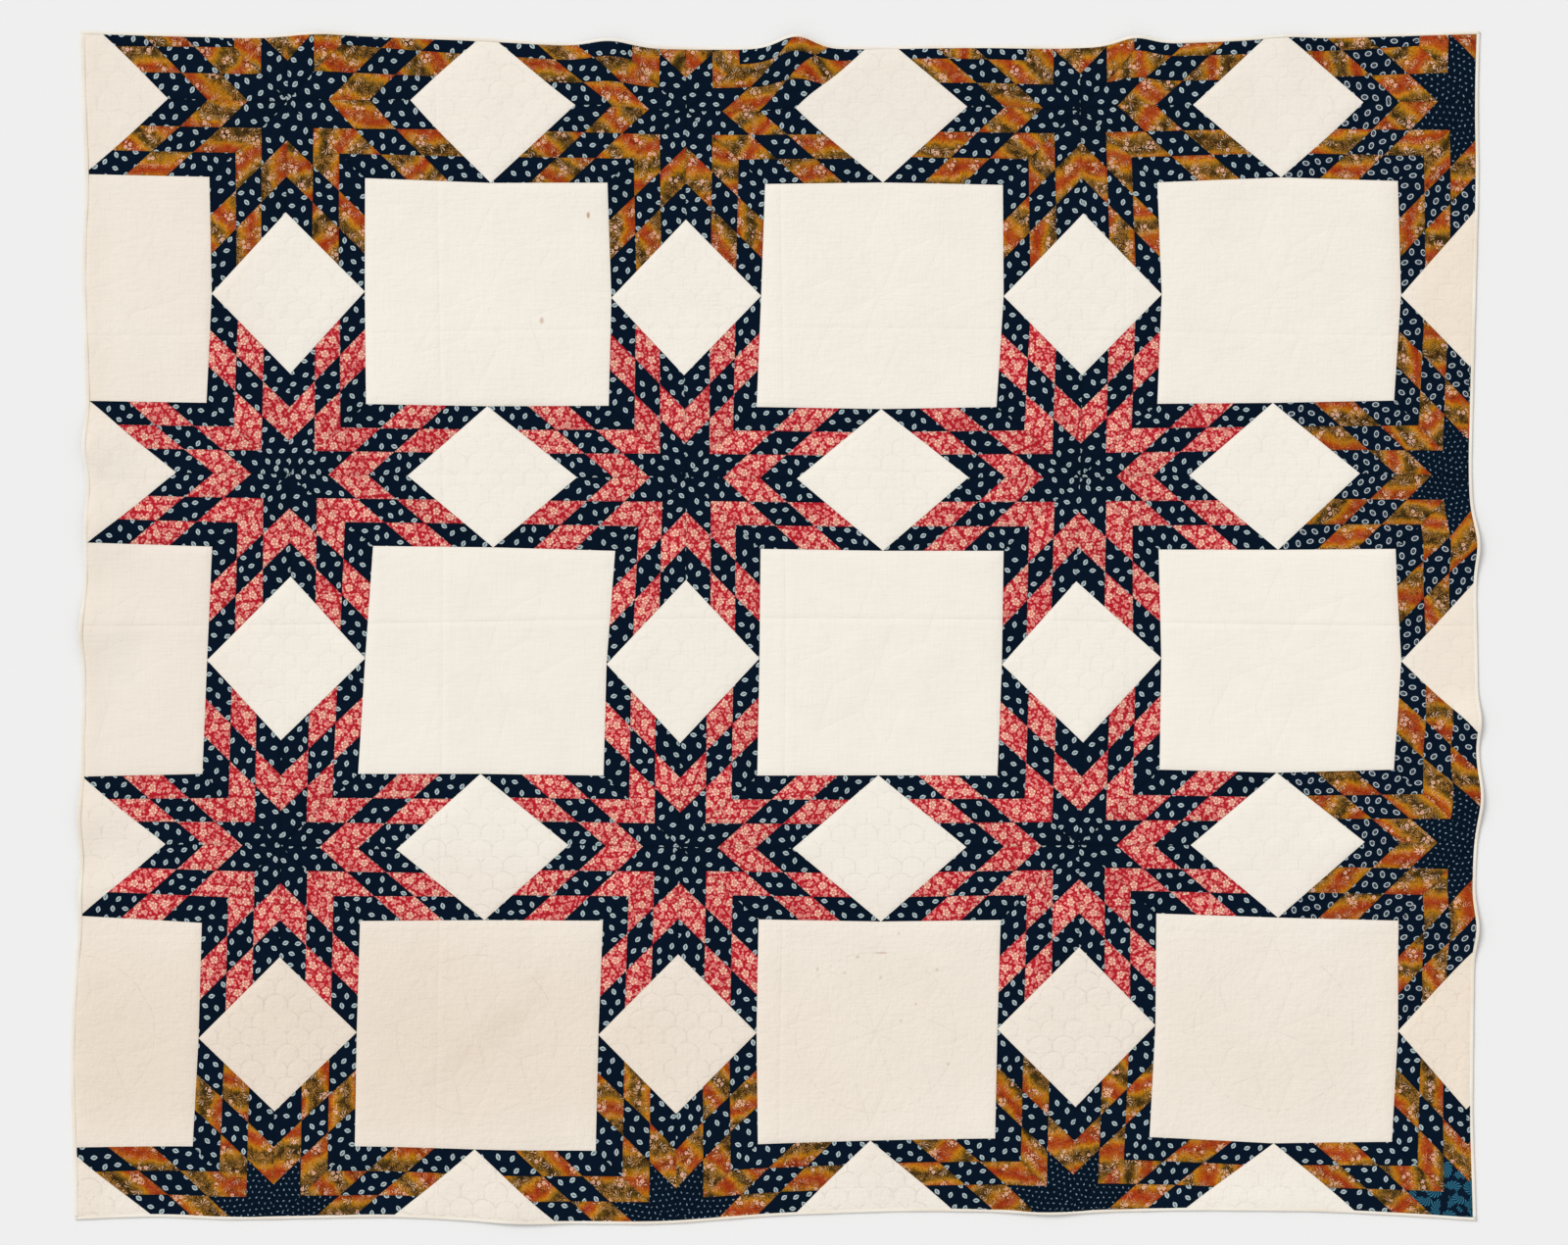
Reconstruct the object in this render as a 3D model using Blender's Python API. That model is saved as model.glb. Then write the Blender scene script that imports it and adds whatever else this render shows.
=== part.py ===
"""A pieced star quilt laid out flat on the floor: four rows of eight-pointed stars that touch at their tips,
plain cotton squares between them, quilted through, and bound in four narrow cream strips.
Metres, +X across the quilt, +Y towards its top edge, +Z up. The origin is the middle of the underside."""
import bmesh
import bpy
import numpy as np

# The quilt's straight plan: where its four bound edges would lie if the cloth were pulled true.
LEFT_EDGE = -1.0783
RIGHT_EDGE = 1.0800
TOP_EDGE = 0.9038
BOTTOM_EDGE = -0.9099

# The cloth: two cotton layers and a thin batting, pressed down at the seams and raised between them.
SEAM_THICKNESS = 0.003
PATCH_RISE = 0.0025
BINDING_WIDTH = 0.005
BINDING_HEIGHT = 0.004
BINDING_ROUND = 0.0012
SEWN_GAP = 0.0003
RIM_STEP = 0.026
SAME_PLACE = 0.0005
SAME_LINE = 0.00001
FLAT_ANGLE = 0.01

# A star's shape, from its centre: the notches between its arms, and the tips that it shares.
SIDE_NOTCH = 0.1808
END_NOTCH = 0.1640
CORNER_NOTCH = (0.1246, 0.1139)
TIP_OFFSET = (0.1185, 0.1078)
PIECES_A_SIDE = 3

# Star centres (x, y), one row of the quilt to a line and left to right; past them the steps go on.
STAR_CENTRES = (
    ((-0.7575, 0.8096), (-0.1408, 0.8005), (0.4698, 0.8051), (1.0744, 0.8081)),
    ((-0.7560, 0.2370), (-0.1408, 0.2324), (0.4698, 0.2324), (1.0729, 0.2354)),
    ((-0.7682, -0.3387), (-0.1499, -0.3403), (0.4683, -0.3372), (1.0744, -0.3342)),
    ((-0.7803, -0.9114), (-0.1560, -0.9114), (0.4577, -0.9008), (1.0714, -0.9053)),
)
STEP = (0.6150, 0.5727)

# How far hand piecing has moved points of that regular plan, (x, y) in millimetres, one star to a bracket.
# Corner notches: left low, left high, right low, right high.
CORNER_SHIFTS = (
    (((3, 2), (0, 0), (-5, 0), (0, 0)), ((3, 2), (0, 0), (-2, 0), (0, 0)),
     ((5, -6), (0, 0), (-5, -2), (0, 0)), ((11, -3), (0, 0), (0, 0), (0, 0))),
    (((6, 2), (-3, -3), (6, 3), (-5, -5)), ((15, 0), (5, -3), (-9, 3), (-15, -5)),
     ((6, 0), (-5, -5), (-3, 2), (-5, 0)), ((9, 0), (8, 2), (0, 0), (0, 0))),
    (((2, -5), (3, -2), (-2, -2), (-5, -2)), ((5, 0), (6, -3), (-3, 2), (-5, -3)),
     ((3, -2), (-2, -6), (-5, 8), (0, 3)), ((12, -6), (5, 0), (0, 0), (0, 0))),
    (((0, 0), (0, -5), (0, 0), (2, -5)), ((0, 0), (0, -9), (0, 0), (2, -2)),
     ((0, 0), (5, -5), (0, 0), (-5, -3)), ((0, 0), (6, -5), (0, 0), (0, 0))),
)
# Inner notches: left, right, low, high.
NOTCH_SHIFTS = (
    (((-5, 3), (9, 2), (-3, -3), (0, 0)), ((9, 8), (-11, 0), (0, -5), (0, 0)),
     ((6, 2), (-6, 2), (5, 0), (0, 0)), ((15, 0), (0, 0), (0, 0), (0, 0))),
    (((6, 3), (3, -2), (3, 6), (2, -8)), ((12, 0), (-9, -2), (0, 5), (-3, -6)),
     ((8, 0), (-12, 3), (-6, 3), (3, -6)), ((11, 3), (0, 0), (2, -3), (0, 5))),
    (((2, 3), (-2, -5), (-2, -8), (0, 0)), ((8, 3), (-6, -2), (-3, -2), (0, -3)),
     ((6, -3), (-8, 0), (0, 6), (6, -5)), ((17, 2), (0, 0), (0, -5), (0, 8))),
    (((0, 0), (0, 0), (0, 0), (2, -2)), ((0, 0), (0, 0), (0, 0), (0, -6)),
     ((-6, -5), (-6, -6), (0, 0), (5, -6)), ((6, -2), (0, 0), (0, 0), (-2, -5))),
)
# Tips shared across a column, from the left of the first star on: low, high.
SIDE_TIP_SHIFTS = (
    (((-15, 0), (0, 0)), ((6, -9), (0, 0)), ((0, -6), (-3, 12)), ((9, -2), (0, 0))),
    (((-9, 2), (-9, 6)), ((9, -3), (0, 0)), ((0, -6), (-3, -2)), ((5, -6), (-3, 6))),
    (((0, 0), (0, 0)), ((6, -6), (0, 5)), ((2, -9), (-2, 2)), ((5, -6), (3, 3))),
    (((0, 0), (0, 0)), ((0, 0), (0, -2)), ((0, 0), (-6, 3)), ((0, 0), (5, -5))),
)
# Tips shared across a row, from below the first star on: left, right.
END_TIP_SHIFTS = (
    (((0, -6), (0, -3)), ((3, -6), (-2, -3)), ((0, -6), (8, -3)), ((11, -8), (0, 0))),
    (((-2, 0), (6, 3)), ((0, -3), (0, 6)), ((-2, -5), (8, 5)), ((11, -3), (0, 0))),
    (((-3, -11), (5, -2)), ((-5, -5), (3, -2)), ((-3, -3), (5, 3)), ((8, -5), (0, 0))),
)
MILLIMETRE = 0.001

# The print of the rings in each star, by row and column.
RING_PRINTS = (
    ("orange", "orange", "orange", "orange"),
    ("red", "red", "red", "orange"),
    ("red", "red", "red", "orange"),
    ("orange", "orange", "orange", "orange"),
)

# How far each bound edge stands out from its straight line: place along the edge, distance outwards.
EDGE_LINES = {
    "top": ((-1.09, 0.020), (-0.95, 0.016), (-0.80, 0.012), (-0.65, 0.016), (-0.45, 0.008), (-0.33, 0.001),
            (-0.15, -0.005), (0.10, -0.005), (0.30, -0.002), (0.45, -0.004), (0.60, 0.004), (0.75, 0.010),
            (0.90, 0.014), (1.09, 0.020)),
    "bottom": ((-1.09, 0.008), (-0.96, 0.002), (-0.85, 0.008), (-0.60, 0.003), (-0.48, 0.009), (-0.30, 0.014),
               (-0.18, 0.015), (0.00, 0.001), (0.20, -0.006), (0.45, -0.003), (0.64, -0.007), (0.85, -0.005),
               (1.00, 0.003), (1.09, 0.010)),
    "left": ((-0.92, 0.009), (-0.78, 0.013), (-0.68, 0.017), (-0.55, 0.012), (-0.44, 0.001), (-0.30, 0.001),
             (-0.10, -0.002), (0.05, -0.004), (0.22, -0.010), (0.36, -0.008), (0.55, -0.001), (0.70, -0.007),
             (0.83, -0.001), (0.92, 0.000)),
    "right": ((-0.92, 0.004), (-0.75, -0.002), (-0.58, 0.000), (-0.40, 0.002), (-0.25, 0.008), (-0.05, 0.006),
              (0.10, 0.003), (0.24, -0.004), (0.40, 0.000), (0.55, 0.004), (0.70, 0.008), (0.82, 0.006),
              (0.92, 0.010)),
}

# Ripples in the edges: side, place along it, width, extra distance outwards, height off the floor.
RIPPLES = (
    ("top", -0.715, 0.110, 0.004, 0.004),
    ("top", -0.258, 0.085, 0.009, 0.008),
    ("top", 0.030, 0.076, 0.018, 0.012),
    ("top", 0.555, 0.070, 0.010, 0.009),
    ("top", 0.790, 0.090, 0.003, 0.004),
    ("bottom", -0.400, 0.120, 0.003, 0.004),
    ("bottom", 0.420, 0.110, 0.003, 0.004),
    ("left", 0.282, 0.080, 0.006, 0.009),
    ("left", 0.155, 0.100, 0.002, 0.008),
    ("left", -0.005, 0.090, 0.005, 0.008),
    ("left", -0.295, 0.090, 0.003, 0.008),
    ("left", -0.415, 0.070, 0.002, 0.006),
    ("right", 0.130, 0.080, 0.007, 0.009),
    ("right", -0.145, 0.060, 0.004, 0.008),
    ("right", -0.265, 0.090, 0.007, 0.007),
    ("right", -0.465, 0.070, 0.006, 0.008),
)
EDGE_REACH = 0.150
EDGE_ROUNDING = (-0.04, -0.02, 0, 0.02, 0.04)
RIPPLE_REACH = 0.110
LEAST_WAVE = 0.02

# Each side's line in the plan: the axis that it runs along, the axis across it, and the way out.
SIDES = {
    "left": (LEFT_EDGE, 1, 0, -1),
    "right": (RIGHT_EDGE, 1, 0, 1),
    "bottom": (BOTTOM_EDGE, 0, 1, -1),
    "top": (TOP_EDGE, 0, 1, 1),
}

# Cottons: linear colour and roughness.
COTTONS = {
    "muslin": ((0.86, 0.81, 0.71), 0.92),
    "navy": ((0.006, 0.014, 0.032), 0.90),
    "red": ((0.48, 0.05, 0.07), 0.90),
    "orange": ((0.46, 0.20, 0.04), 0.90),
    "cream": ((0.87, 0.80, 0.68), 0.90),
}


def cotton(name):
    """A woven cotton of one plain colour."""
    colour, roughness = COTTONS[name]
    material = bpy.data.materials.new(name + "_cotton")
    material.use_nodes = True
    shader = material.node_tree.nodes["Principled BSDF"]
    shader.inputs["Base Color"].default_value = (*colour, 1)
    shader.inputs["Roughness"].default_value = roughness
    shader.inputs["Metallic"].default_value = 0
    return material


def centre(row, column):
    """A star's centre in the plan; rows count down from 0 at the top, and columns from 0 at the left."""
    inner_row = min(max(row, 0), len(STAR_CENTRES) - 1)
    inner_column = min(max(column, 0), len(STAR_CENTRES[0]) - 1)
    x, y = STAR_CENTRES[inner_row][inner_column]
    return np.array((x + (column - inner_column) * STEP[0], y - (row - inner_row) * STEP[1]))


def shifted(spot, table, row, column, index):
    """A point of the plan, moved as its table of shifts says."""
    if 0 <= row < len(table) and 0 <= column < len(table[0]):
        return spot + MILLIMETRE * np.array(table[row][column][index])
    return spot


def corner_notch(row, column, side, end):
    """The right-angled notch of a star on its left or right side (-1, 1) and lower or upper end (-1, 1)."""
    spot = centre(row, column) + (side * CORNER_NOTCH[0], end * CORNER_NOTCH[1])
    return shifted(spot, CORNER_SHIFTS, row, column, 2 * (side > 0) + (end > 0))


def side_notch(row, column, side):
    """The notch of a star between the two arms on its left or right side."""
    return shifted(centre(row, column) + (side * SIDE_NOTCH, 0), NOTCH_SHIFTS, row, column, int(side > 0))


def end_notch(row, column, end):
    """The notch of a star between the two arms at its lower or upper end."""
    return shifted(centre(row, column) + (0, end * END_NOTCH), NOTCH_SHIFTS, row, column, 2 + (end > 0))


def side_tip(row, column, side, end):
    """The tip that a star shares with its neighbour to the left or right."""
    spot = (centre(row, column) + centre(row, column + side)) / 2 + (0, end * TIP_OFFSET[1])
    return shifted(spot, SIDE_TIP_SHIFTS, row, max(column, column + side), int(end > 0))


def end_tip(row, column, side, end):
    """The tip that a star shares with its neighbour above or below."""
    spot = (centre(row, column) + centre(row - end, column)) / 2 + (side * TIP_OFFSET[0], 0)
    return shifted(spot, END_TIP_SHIFTS, min(row, row - end), column, int(side > 0))


def star_diamonds(row, column):
    """The star's eight big diamonds, each as centre, inner notch, tip and outer notch."""
    here = centre(row, column)
    diamonds = []
    for side in (-1, 1):
        for end in (-1, 1):
            corner = corner_notch(row, column, side, end)
            diamonds.append((here, side_notch(row, column, side), side_tip(row, column, side, end), corner))
            diamonds.append((here, end_notch(row, column, end), end_tip(row, column, side, end), corner))
    return diamonds


def plain_pieces(row, column):
    """The plain squares below and to the right of a star, as quarters and on-point squares."""
    corners = [corner_notch(row, column, 1, -1), corner_notch(row, column + 1, -1, -1),
               corner_notch(row + 1, column + 1, -1, 1), corner_notch(row + 1, column, 1, 1)]
    tips = [side_tip(row, column, 1, -1), end_tip(row, column + 1, -1, -1),
            side_tip(row + 1, column, 1, 1), end_tip(row, column, 1, -1)]
    middle = sum(corners) / 4
    pieces = [(corners[i], tips[i], middle, tips[i - 1]) for i in range(4)]
    pieces.append((side_notch(row, column, 1), side_tip(row, column, 1, -1),
                   side_notch(row, column + 1, -1), side_tip(row, column, 1, 1)))
    pieces.append((end_notch(row, column, -1), end_tip(row, column, -1, -1),
                   end_notch(row + 1, column, 1), end_tip(row, column, 1, -1)))
    return pieces


def piece(work, corners, cottons):
    """Fills a four-sided piece with its small patches; a patch's cotton goes by its count from corner 0."""
    first, second, third, fourth = (np.array(corner) for corner in corners)
    count = PIECES_A_SIDE

    def spot(i, j):
        u, v = i / count, j / count
        x, y = (1 - u) * (1 - v) * first + u * (1 - v) * second + u * v * third + (1 - u) * v * fourth
        return work.verts.new((x, y, 0))

    for i in range(count):
        for j in range(count):
            patch = work.faces.new((spot(i, j), spot(i + 1, j), spot(i + 1, j + 1), spot(i, j + 1)))
            patch.material_index = cottons[i + j]


def flat_patchwork():
    """The straight plan of the pieced top as one sheet, cut along its four edges."""
    order = list(COTTONS)
    plain = [order.index("muslin")] * (2 * PIECES_A_SIDE - 1)
    work = bmesh.new()
    rows, columns = len(STAR_CENTRES), len(STAR_CENTRES[0])
    for row in range(rows):
        for column in range(-1, columns):
            if column >= 0:
                ring = RING_PRINTS[row][column]
                cottons = [order.index(name) for name in ("navy", ring, "navy", ring, "navy")]
            else:
                cottons = plain
            for diamond in star_diamonds(row, column):
                piece(work, diamond, cottons)
            for square in plain_pieces(row, column):
                piece(work, square, plain)
    bmesh.ops.remove_doubles(work, verts=work.verts, dist=SAME_PLACE)
    for line, along, across, outward in SIDES.values():
        spot, normal = [0, 0, 0], [0, 0, 0]
        spot[across] = line - outward * (BINDING_WIDTH + SEWN_GAP)
        normal[across] = outward
        bmesh.ops.bisect_plane(work, geom=work.verts[:] + work.edges[:] + work.faces[:],
                               plane_co=spot, plane_no=normal, clear_outer=True)
    for cuts in (1, 2, 3):
        rim = [edge for edge in work.edges if edge.is_boundary
               and int(edge.calc_length() / RIM_STEP) == cuts]
        bmesh.ops.subdivide_edges(work, edges=rim, cuts=cuts)
    return work


def ease(share):
    """A smooth step from 0 to 1."""
    share = np.clip(share, 0, 1)
    return share * share * (3 - 2 * share)


def edge_line(side, place):
    """How far an edge stands out there, with the corners of its table rounded off."""
    places, distances = zip(*EDGE_LINES[side])
    return sum(np.interp(place + step, places, distances) for step in EDGE_ROUNDING) / len(EDGE_ROUNDING)


def lay(points):
    """Moves points of the straight plan to where the laid cloth has them, ripples and all."""
    laid = points.copy()
    for side, (line, along, across, outward) in SIDES.items():
        inside = outward * (line - points[:, across]) - BINDING_WIDTH - SEWN_GAP
        stand = edge_line(side, points[:, along])
        lift = np.zeros(len(points))
        for name, place, width, extra, height in RIPPLES:
            if name == side:
                wave = np.exp(-((points[:, along] - place) / (width / 2)) ** 2)
                wave = np.where(wave > LEAST_WAVE, wave, 0)
                stand = stand + extra * wave
                lift = lift + height * wave
        laid[:, across] += outward * stand * (1 - ease(inside / EDGE_REACH))
        laid[:, 2] += lift * (1 - ease(inside / RIPPLE_REACH))
    return laid


def lay_mesh(work):
    """Lays every vertex of a bmesh."""
    laid = lay(np.array([vertex.co[:] for vertex in work.verts]))
    for vertex, spot in zip(work.verts, laid):
        vertex.co = spot


def place_object(name, work, cottons):
    """Makes a named object of a bmesh, one material slot for each cotton."""
    mesh = bpy.data.meshes.new(name)
    work.to_mesh(mesh)
    work.free()
    for entry in cottons:
        mesh.materials.append(entry)
    bpy.context.scene.collection.objects.link(bpy.data.objects.new(name, mesh))


def quilt_body(cottons):
    """The quilted cloth as one solid: each patch crowned on top, and the underside flat on the floor.
    Gives the places of its rim's corners along each side too, which the binding is sewn to."""
    work = flat_patchwork()
    rim = {side: set() for side in SIDES}
    for vertex in work.verts:
        for side, (line, along, across, outward) in SIDES.items():
            if abs(outward * (line - vertex.co[across]) - BINDING_WIDTH - SEWN_GAP) < SAME_LINE:
                rim[side].add(round(vertex.co[along], 5))
    usual_area = SIDE_NOTCH * CORNER_NOTCH[1] / PIECES_A_SIDE ** 2
    underside = work.faces[:]
    top = bmesh.ops.extrude_face_region(work, geom=underside, use_keep_orig=True)["geom"]
    top_faces = [part for part in top if isinstance(part, bmesh.types.BMFace)]
    top_vertices = [part for part in top if isinstance(part, bmesh.types.BMVert)]
    bmesh.ops.translate(work, vec=(0, 0, SEAM_THICKNESS), verts=top_vertices)
    bmesh.ops.recalc_face_normals(work, faces=work.faces)
    for face in top_faces:
        rise = PATCH_RISE * min(1, face.calc_area() / usual_area)
        bmesh.ops.poke(work, faces=[face], offset=rise)
    lay_mesh(work)
    on_floor = {face for face in work.faces if all(vertex.co.z == 0 for vertex in face.verts)}
    inner = [edge for edge in work.edges if on_floor.issuperset(edge.link_faces)]
    bmesh.ops.dissolve_limit(work, angle_limit=FLAT_ANGLE, edges=inner)
    bmesh.ops.triangulate(work, faces=work.faces)
    place_object("quilt_body", work, cottons)
    return rim


def binding_strip(side, places, cottons):
    """One straight-grain strip along a side, folded over the quilt's edge, with its outer corner rounded.
    The strips at the top and the bottom run on over the ends of the two at the sides."""
    line, along, across, outward = SIDES[side]
    first, last = min(places), max(places)
    if along == 0:
        first -= BINDING_WIDTH + SEWN_GAP
        last += BINDING_WIDTH + SEWN_GAP
    size, middle = [0, 0, BINDING_HEIGHT], [0, 0, BINDING_HEIGHT / 2]
    size[along], size[across] = last - first, BINDING_WIDTH
    middle[along], middle[across] = (first + last) / 2, line - outward * BINDING_WIDTH / 2
    work = bmesh.new()
    bmesh.ops.create_cube(work, size=1)
    bmesh.ops.scale(work, vec=size, verts=work.verts)
    bmesh.ops.translate(work, vec=middle, verts=work.verts)
    outer_top = [edge for edge in work.edges if all(
        abs(vertex.co[across] - line) < SAME_LINE and vertex.co.z > BINDING_HEIGHT / 2 for vertex in edge.verts)]
    bmesh.ops.bevel(work, geom=outer_top, offset=BINDING_ROUND, offset_type="OFFSET", segments=1,
                    profile=0.5, affect="EDGES", material=-1)
    normal = [0, 0, 0]
    normal[along] = 1
    for place in sorted(places):
        if first + SAME_PLACE < place < last - SAME_PLACE:
            spot = [0, 0, 0]
            spot[along] = place
            bmesh.ops.bisect_plane(work, geom=work.verts[:] + work.edges[:] + work.faces[:],
                                   plane_co=spot, plane_no=normal)
    lay_mesh(work)
    bmesh.ops.triangulate(work, faces=work.faces)
    place_object("binding_" + side, work, cottons)


for thing in list(bpy.data.objects):
    bpy.data.objects.remove(thing)
made_cottons = {name: cotton(name) for name in COTTONS}
rim_places = quilt_body(list(made_cottons.values()))
for strip_side in SIDES:
    binding_strip(strip_side, rim_places[strip_side], [made_cottons["cream"]])
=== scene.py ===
"""A pieced star quilt laid out flat, seen straight from above.
Eight-pointed stars of printed diamonds touch at their tips, with cream cotton squares between them. All of
it is quilted through by hand and bound in narrow cream strips."""
import math

import bmesh
import bpy
import numpy as np
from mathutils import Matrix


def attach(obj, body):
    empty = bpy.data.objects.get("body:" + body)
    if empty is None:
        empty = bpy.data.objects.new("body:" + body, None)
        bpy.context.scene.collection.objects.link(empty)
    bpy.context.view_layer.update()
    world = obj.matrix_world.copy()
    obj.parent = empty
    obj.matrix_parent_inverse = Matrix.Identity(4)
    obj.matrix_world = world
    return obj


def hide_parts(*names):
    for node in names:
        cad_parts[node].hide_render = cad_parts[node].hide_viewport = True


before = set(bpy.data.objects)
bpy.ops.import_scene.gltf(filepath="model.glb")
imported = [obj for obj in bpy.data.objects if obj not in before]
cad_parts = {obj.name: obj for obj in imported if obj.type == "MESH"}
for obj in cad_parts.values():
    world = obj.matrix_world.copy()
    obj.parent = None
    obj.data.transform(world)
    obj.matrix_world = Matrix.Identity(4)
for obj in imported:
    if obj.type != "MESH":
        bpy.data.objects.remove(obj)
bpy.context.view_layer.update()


# The view and the light.
# The quilt is seen square on from far above, on a pale plain floor, in soft light that comes
# a little more from the upper left, so that the stitched hollows just show.
VIEW_CENTRE = (0.0111, 0.0076)
VIEW_WIDTH = 2.430
LENS = 85.0
SENSOR = 36.0
FLOOR_DROP = 0.0006
FLOOR_SIZE = 14.0
FLOOR_COLOUR = (0.80, 0.80, 0.80, 1)
SKY_STRENGTH = 0.68
KEY_STRENGTH = 1.74
KEY_SPREAD = math.radians(30)
KEY_PLACE = (-3, 3, 4)
KEY_TURN = (math.radians(44), 0, math.radians(225))

camera_data = bpy.data.cameras.new("camera")
camera_data.lens = LENS
camera_data.sensor_width = SENSOR
camera = bpy.data.objects.new("camera", camera_data)
camera.location = (*VIEW_CENTRE, VIEW_WIDTH * LENS / SENSOR)
bpy.context.scene.collection.objects.link(camera)
bpy.context.scene.camera = camera
bpy.context.scene.view_settings.view_transform = "Standard"


def add_object(name, mesh):
    """An object at the origin that shows a mesh."""
    made = bpy.data.objects.new(name, mesh)
    bpy.context.scene.collection.objects.link(made)
    return made


def new_material(name, roughness=0.92, sheen=0.0, specular=0.04):
    """A cloth finish: its tree and its shader, with what is the same all over set on the shader."""
    made = bpy.data.materials.new(name)
    made.use_nodes = True
    shader = made.node_tree.nodes["Principled BSDF"]
    shader.inputs["Roughness"].default_value = roughness
    shader.inputs["Specular IOR Level"].default_value = specular
    shader.inputs["Sheen Weight"].default_value = sheen
    shader.inputs["Sheen Roughness"].default_value = 0.6
    return made, made.node_tree, shader


work = bmesh.new()
bmesh.ops.create_grid(work, x_segments=1, y_segments=1, size=FLOOR_SIZE / 2)
bmesh.ops.translate(work, vec=(0, 0, -FLOOR_DROP), verts=work.verts)
floor_mesh = bpy.data.meshes.new("floor")
work.to_mesh(floor_mesh)
work.free()
floor = add_object("floor", floor_mesh)
floor_material, tree, shader = new_material("pale_floor", 0.9)
shader.inputs["Base Color"].default_value = FLOOR_COLOUR
floor_mesh.materials.append(floor_material)

world = bpy.data.worlds.new("soft_studio")
world.use_nodes = True
world.node_tree.nodes["Background"].inputs["Color"].default_value = (1.0, 1.0, 1.0, 1)
world.node_tree.nodes["Background"].inputs["Strength"].default_value = SKY_STRENGTH
bpy.context.scene.world = world

key_data = bpy.data.lights.new("key", "SUN")
key_data.energy = KEY_STRENGTH
key_data.angle = KEY_SPREAD
key = bpy.data.objects.new("key", key_data)
key.location = KEY_PLACE
key.rotation_euler = KEY_TURN
bpy.context.scene.collection.objects.link(key)


# The plan of the piecing.
# A star is eight big diamonds of nine small ones. Its tips meet its neighbours', and plain squares fill
# the corners and stand on point between the arms. All of it is cut off along the four bound edges.
MM = 0.001
# Where the bound edges run; the axis along each, the axis across it, and which way is out.
EDGES = {"left": -1.0783, "right": 1.0800, "bottom": -0.9099, "top": 0.9038}
SIDES = {"left": (1, 0, -1), "right": (1, 0, 1), "bottom": (0, 1, -1), "top": (0, 1, 1)}
# The rim that moves with an edge, and how wide the binding shows on it.
BINDING_COVER = 0.0053
BINDING_SHOWN = {"left": 0.0058, "right": 0.0044, "bottom": 0.0040, "top": 0.0040}
# From a star's centre to its notches, from the middle of two stars to their shared tips, and star to star.
SIDE_NOTCH = 0.1808
END_NOTCH = 0.1640
CORNER_NOTCH = (0.1246, 0.1139)
TIP_OFFSET = (0.1185, 0.1078)
PIECES_A_SIDE = 3
STEP = (0.6150, 0.5727)
STAR_CENTRES = (
    ((-0.7575, 0.8096), (-0.1408, 0.8005), (0.4698, 0.8051), (1.0744, 0.8081)),
    ((-0.7560, 0.2370), (-0.1408, 0.2324), (0.4698, 0.2324), (1.0729, 0.2354)),
    ((-0.7682, -0.3387), (-0.1499, -0.3403), (0.4683, -0.3372), (1.0744, -0.3342)),
    ((-0.7803, -0.9114), (-0.1560, -0.9114), (0.4577, -0.9008), (1.0714, -0.9053)),
)
# How far hand piecing has moved points of that regular plan, (x, y) in millimetres, one star to a bracket.
# Corner notches: left low, left high, right low, right high.
CORNER_SHIFTS = (
    (((3, 2), (0, 0), (-5, 0), (0, 0)), ((3, 2), (0, 0), (-2, 0), (0, 0)),
     ((5, -6), (0, 0), (-5, -2), (0, 0)), ((11, -3), (0, 0), (0, 0), (0, 0))),
    (((6, 2), (-3, -3), (6, 3), (-5, -5)), ((15, 0), (5, -3), (-9, 3), (-15, -5)),
     ((6, 0), (-5, -5), (-3, 2), (-5, 0)), ((9, 0), (8, 2), (0, 0), (0, 0))),
    (((2, -5), (3, -2), (-2, -2), (-5, -2)), ((5, 0), (6, -3), (-3, 2), (-5, -3)),
     ((3, -2), (-2, -6), (-5, 8), (0, 3)), ((12, -6), (5, 0), (0, 0), (0, 0))),
    (((0, 0), (0, -5), (0, 0), (2, -5)), ((0, 0), (0, -9), (0, 0), (2, -2)),
     ((0, 0), (5, -5), (0, 0), (-5, -3)), ((0, 0), (6, -5), (0, 0), (0, 0))),
)
# Inner notches: left, right, low, high.
NOTCH_SHIFTS = (
    (((-5, 3), (9, 2), (-3, -3), (0, 0)), ((9, 8), (-11, 0), (0, -5), (0, 0)),
     ((6, 2), (-6, 2), (5, 0), (0, 0)), ((15, 0), (0, 0), (0, 0), (0, 0))),
    (((6, 3), (3, -2), (3, 6), (2, -8)), ((12, 0), (-9, -2), (0, 5), (-3, -6)),
     ((8, 0), (-12, 3), (-6, 3), (3, -6)), ((11, 3), (0, 0), (2, -3), (0, 5))),
    (((2, 3), (-2, -5), (-2, -8), (0, 0)), ((8, 3), (-6, -2), (-3, -2), (0, -3)),
     ((6, -3), (-8, 0), (0, 6), (6, -5)), ((17, 2), (0, 0), (0, -5), (0, 8))),
    (((0, 0), (0, 0), (0, 0), (2, -2)), ((0, 0), (0, 0), (0, 0), (0, -6)),
     ((-6, -5), (-6, -6), (0, 0), (5, -6)), ((6, -2), (0, 0), (0, 0), (-2, -5))),
)
# Tips shared across a column, from the left of the first star on: low, high.
SIDE_TIP_SHIFTS = (
    (((-15, 0), (0, 0)), ((6, -9), (0, 0)), ((0, -6), (-3, 12)), ((9, -2), (0, 0))),
    (((-9, 2), (-9, 6)), ((9, -3), (0, 0)), ((0, -6), (-3, -2)), ((5, -6), (-3, 6))),
    (((0, 0), (0, 0)), ((6, -6), (0, 5)), ((2, -9), (-2, 2)), ((5, -6), (3, 3))),
    (((0, 0), (0, 0)), ((0, 0), (0, -2)), ((0, 0), (-6, 3)), ((0, 0), (5, -5))),
)
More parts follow.
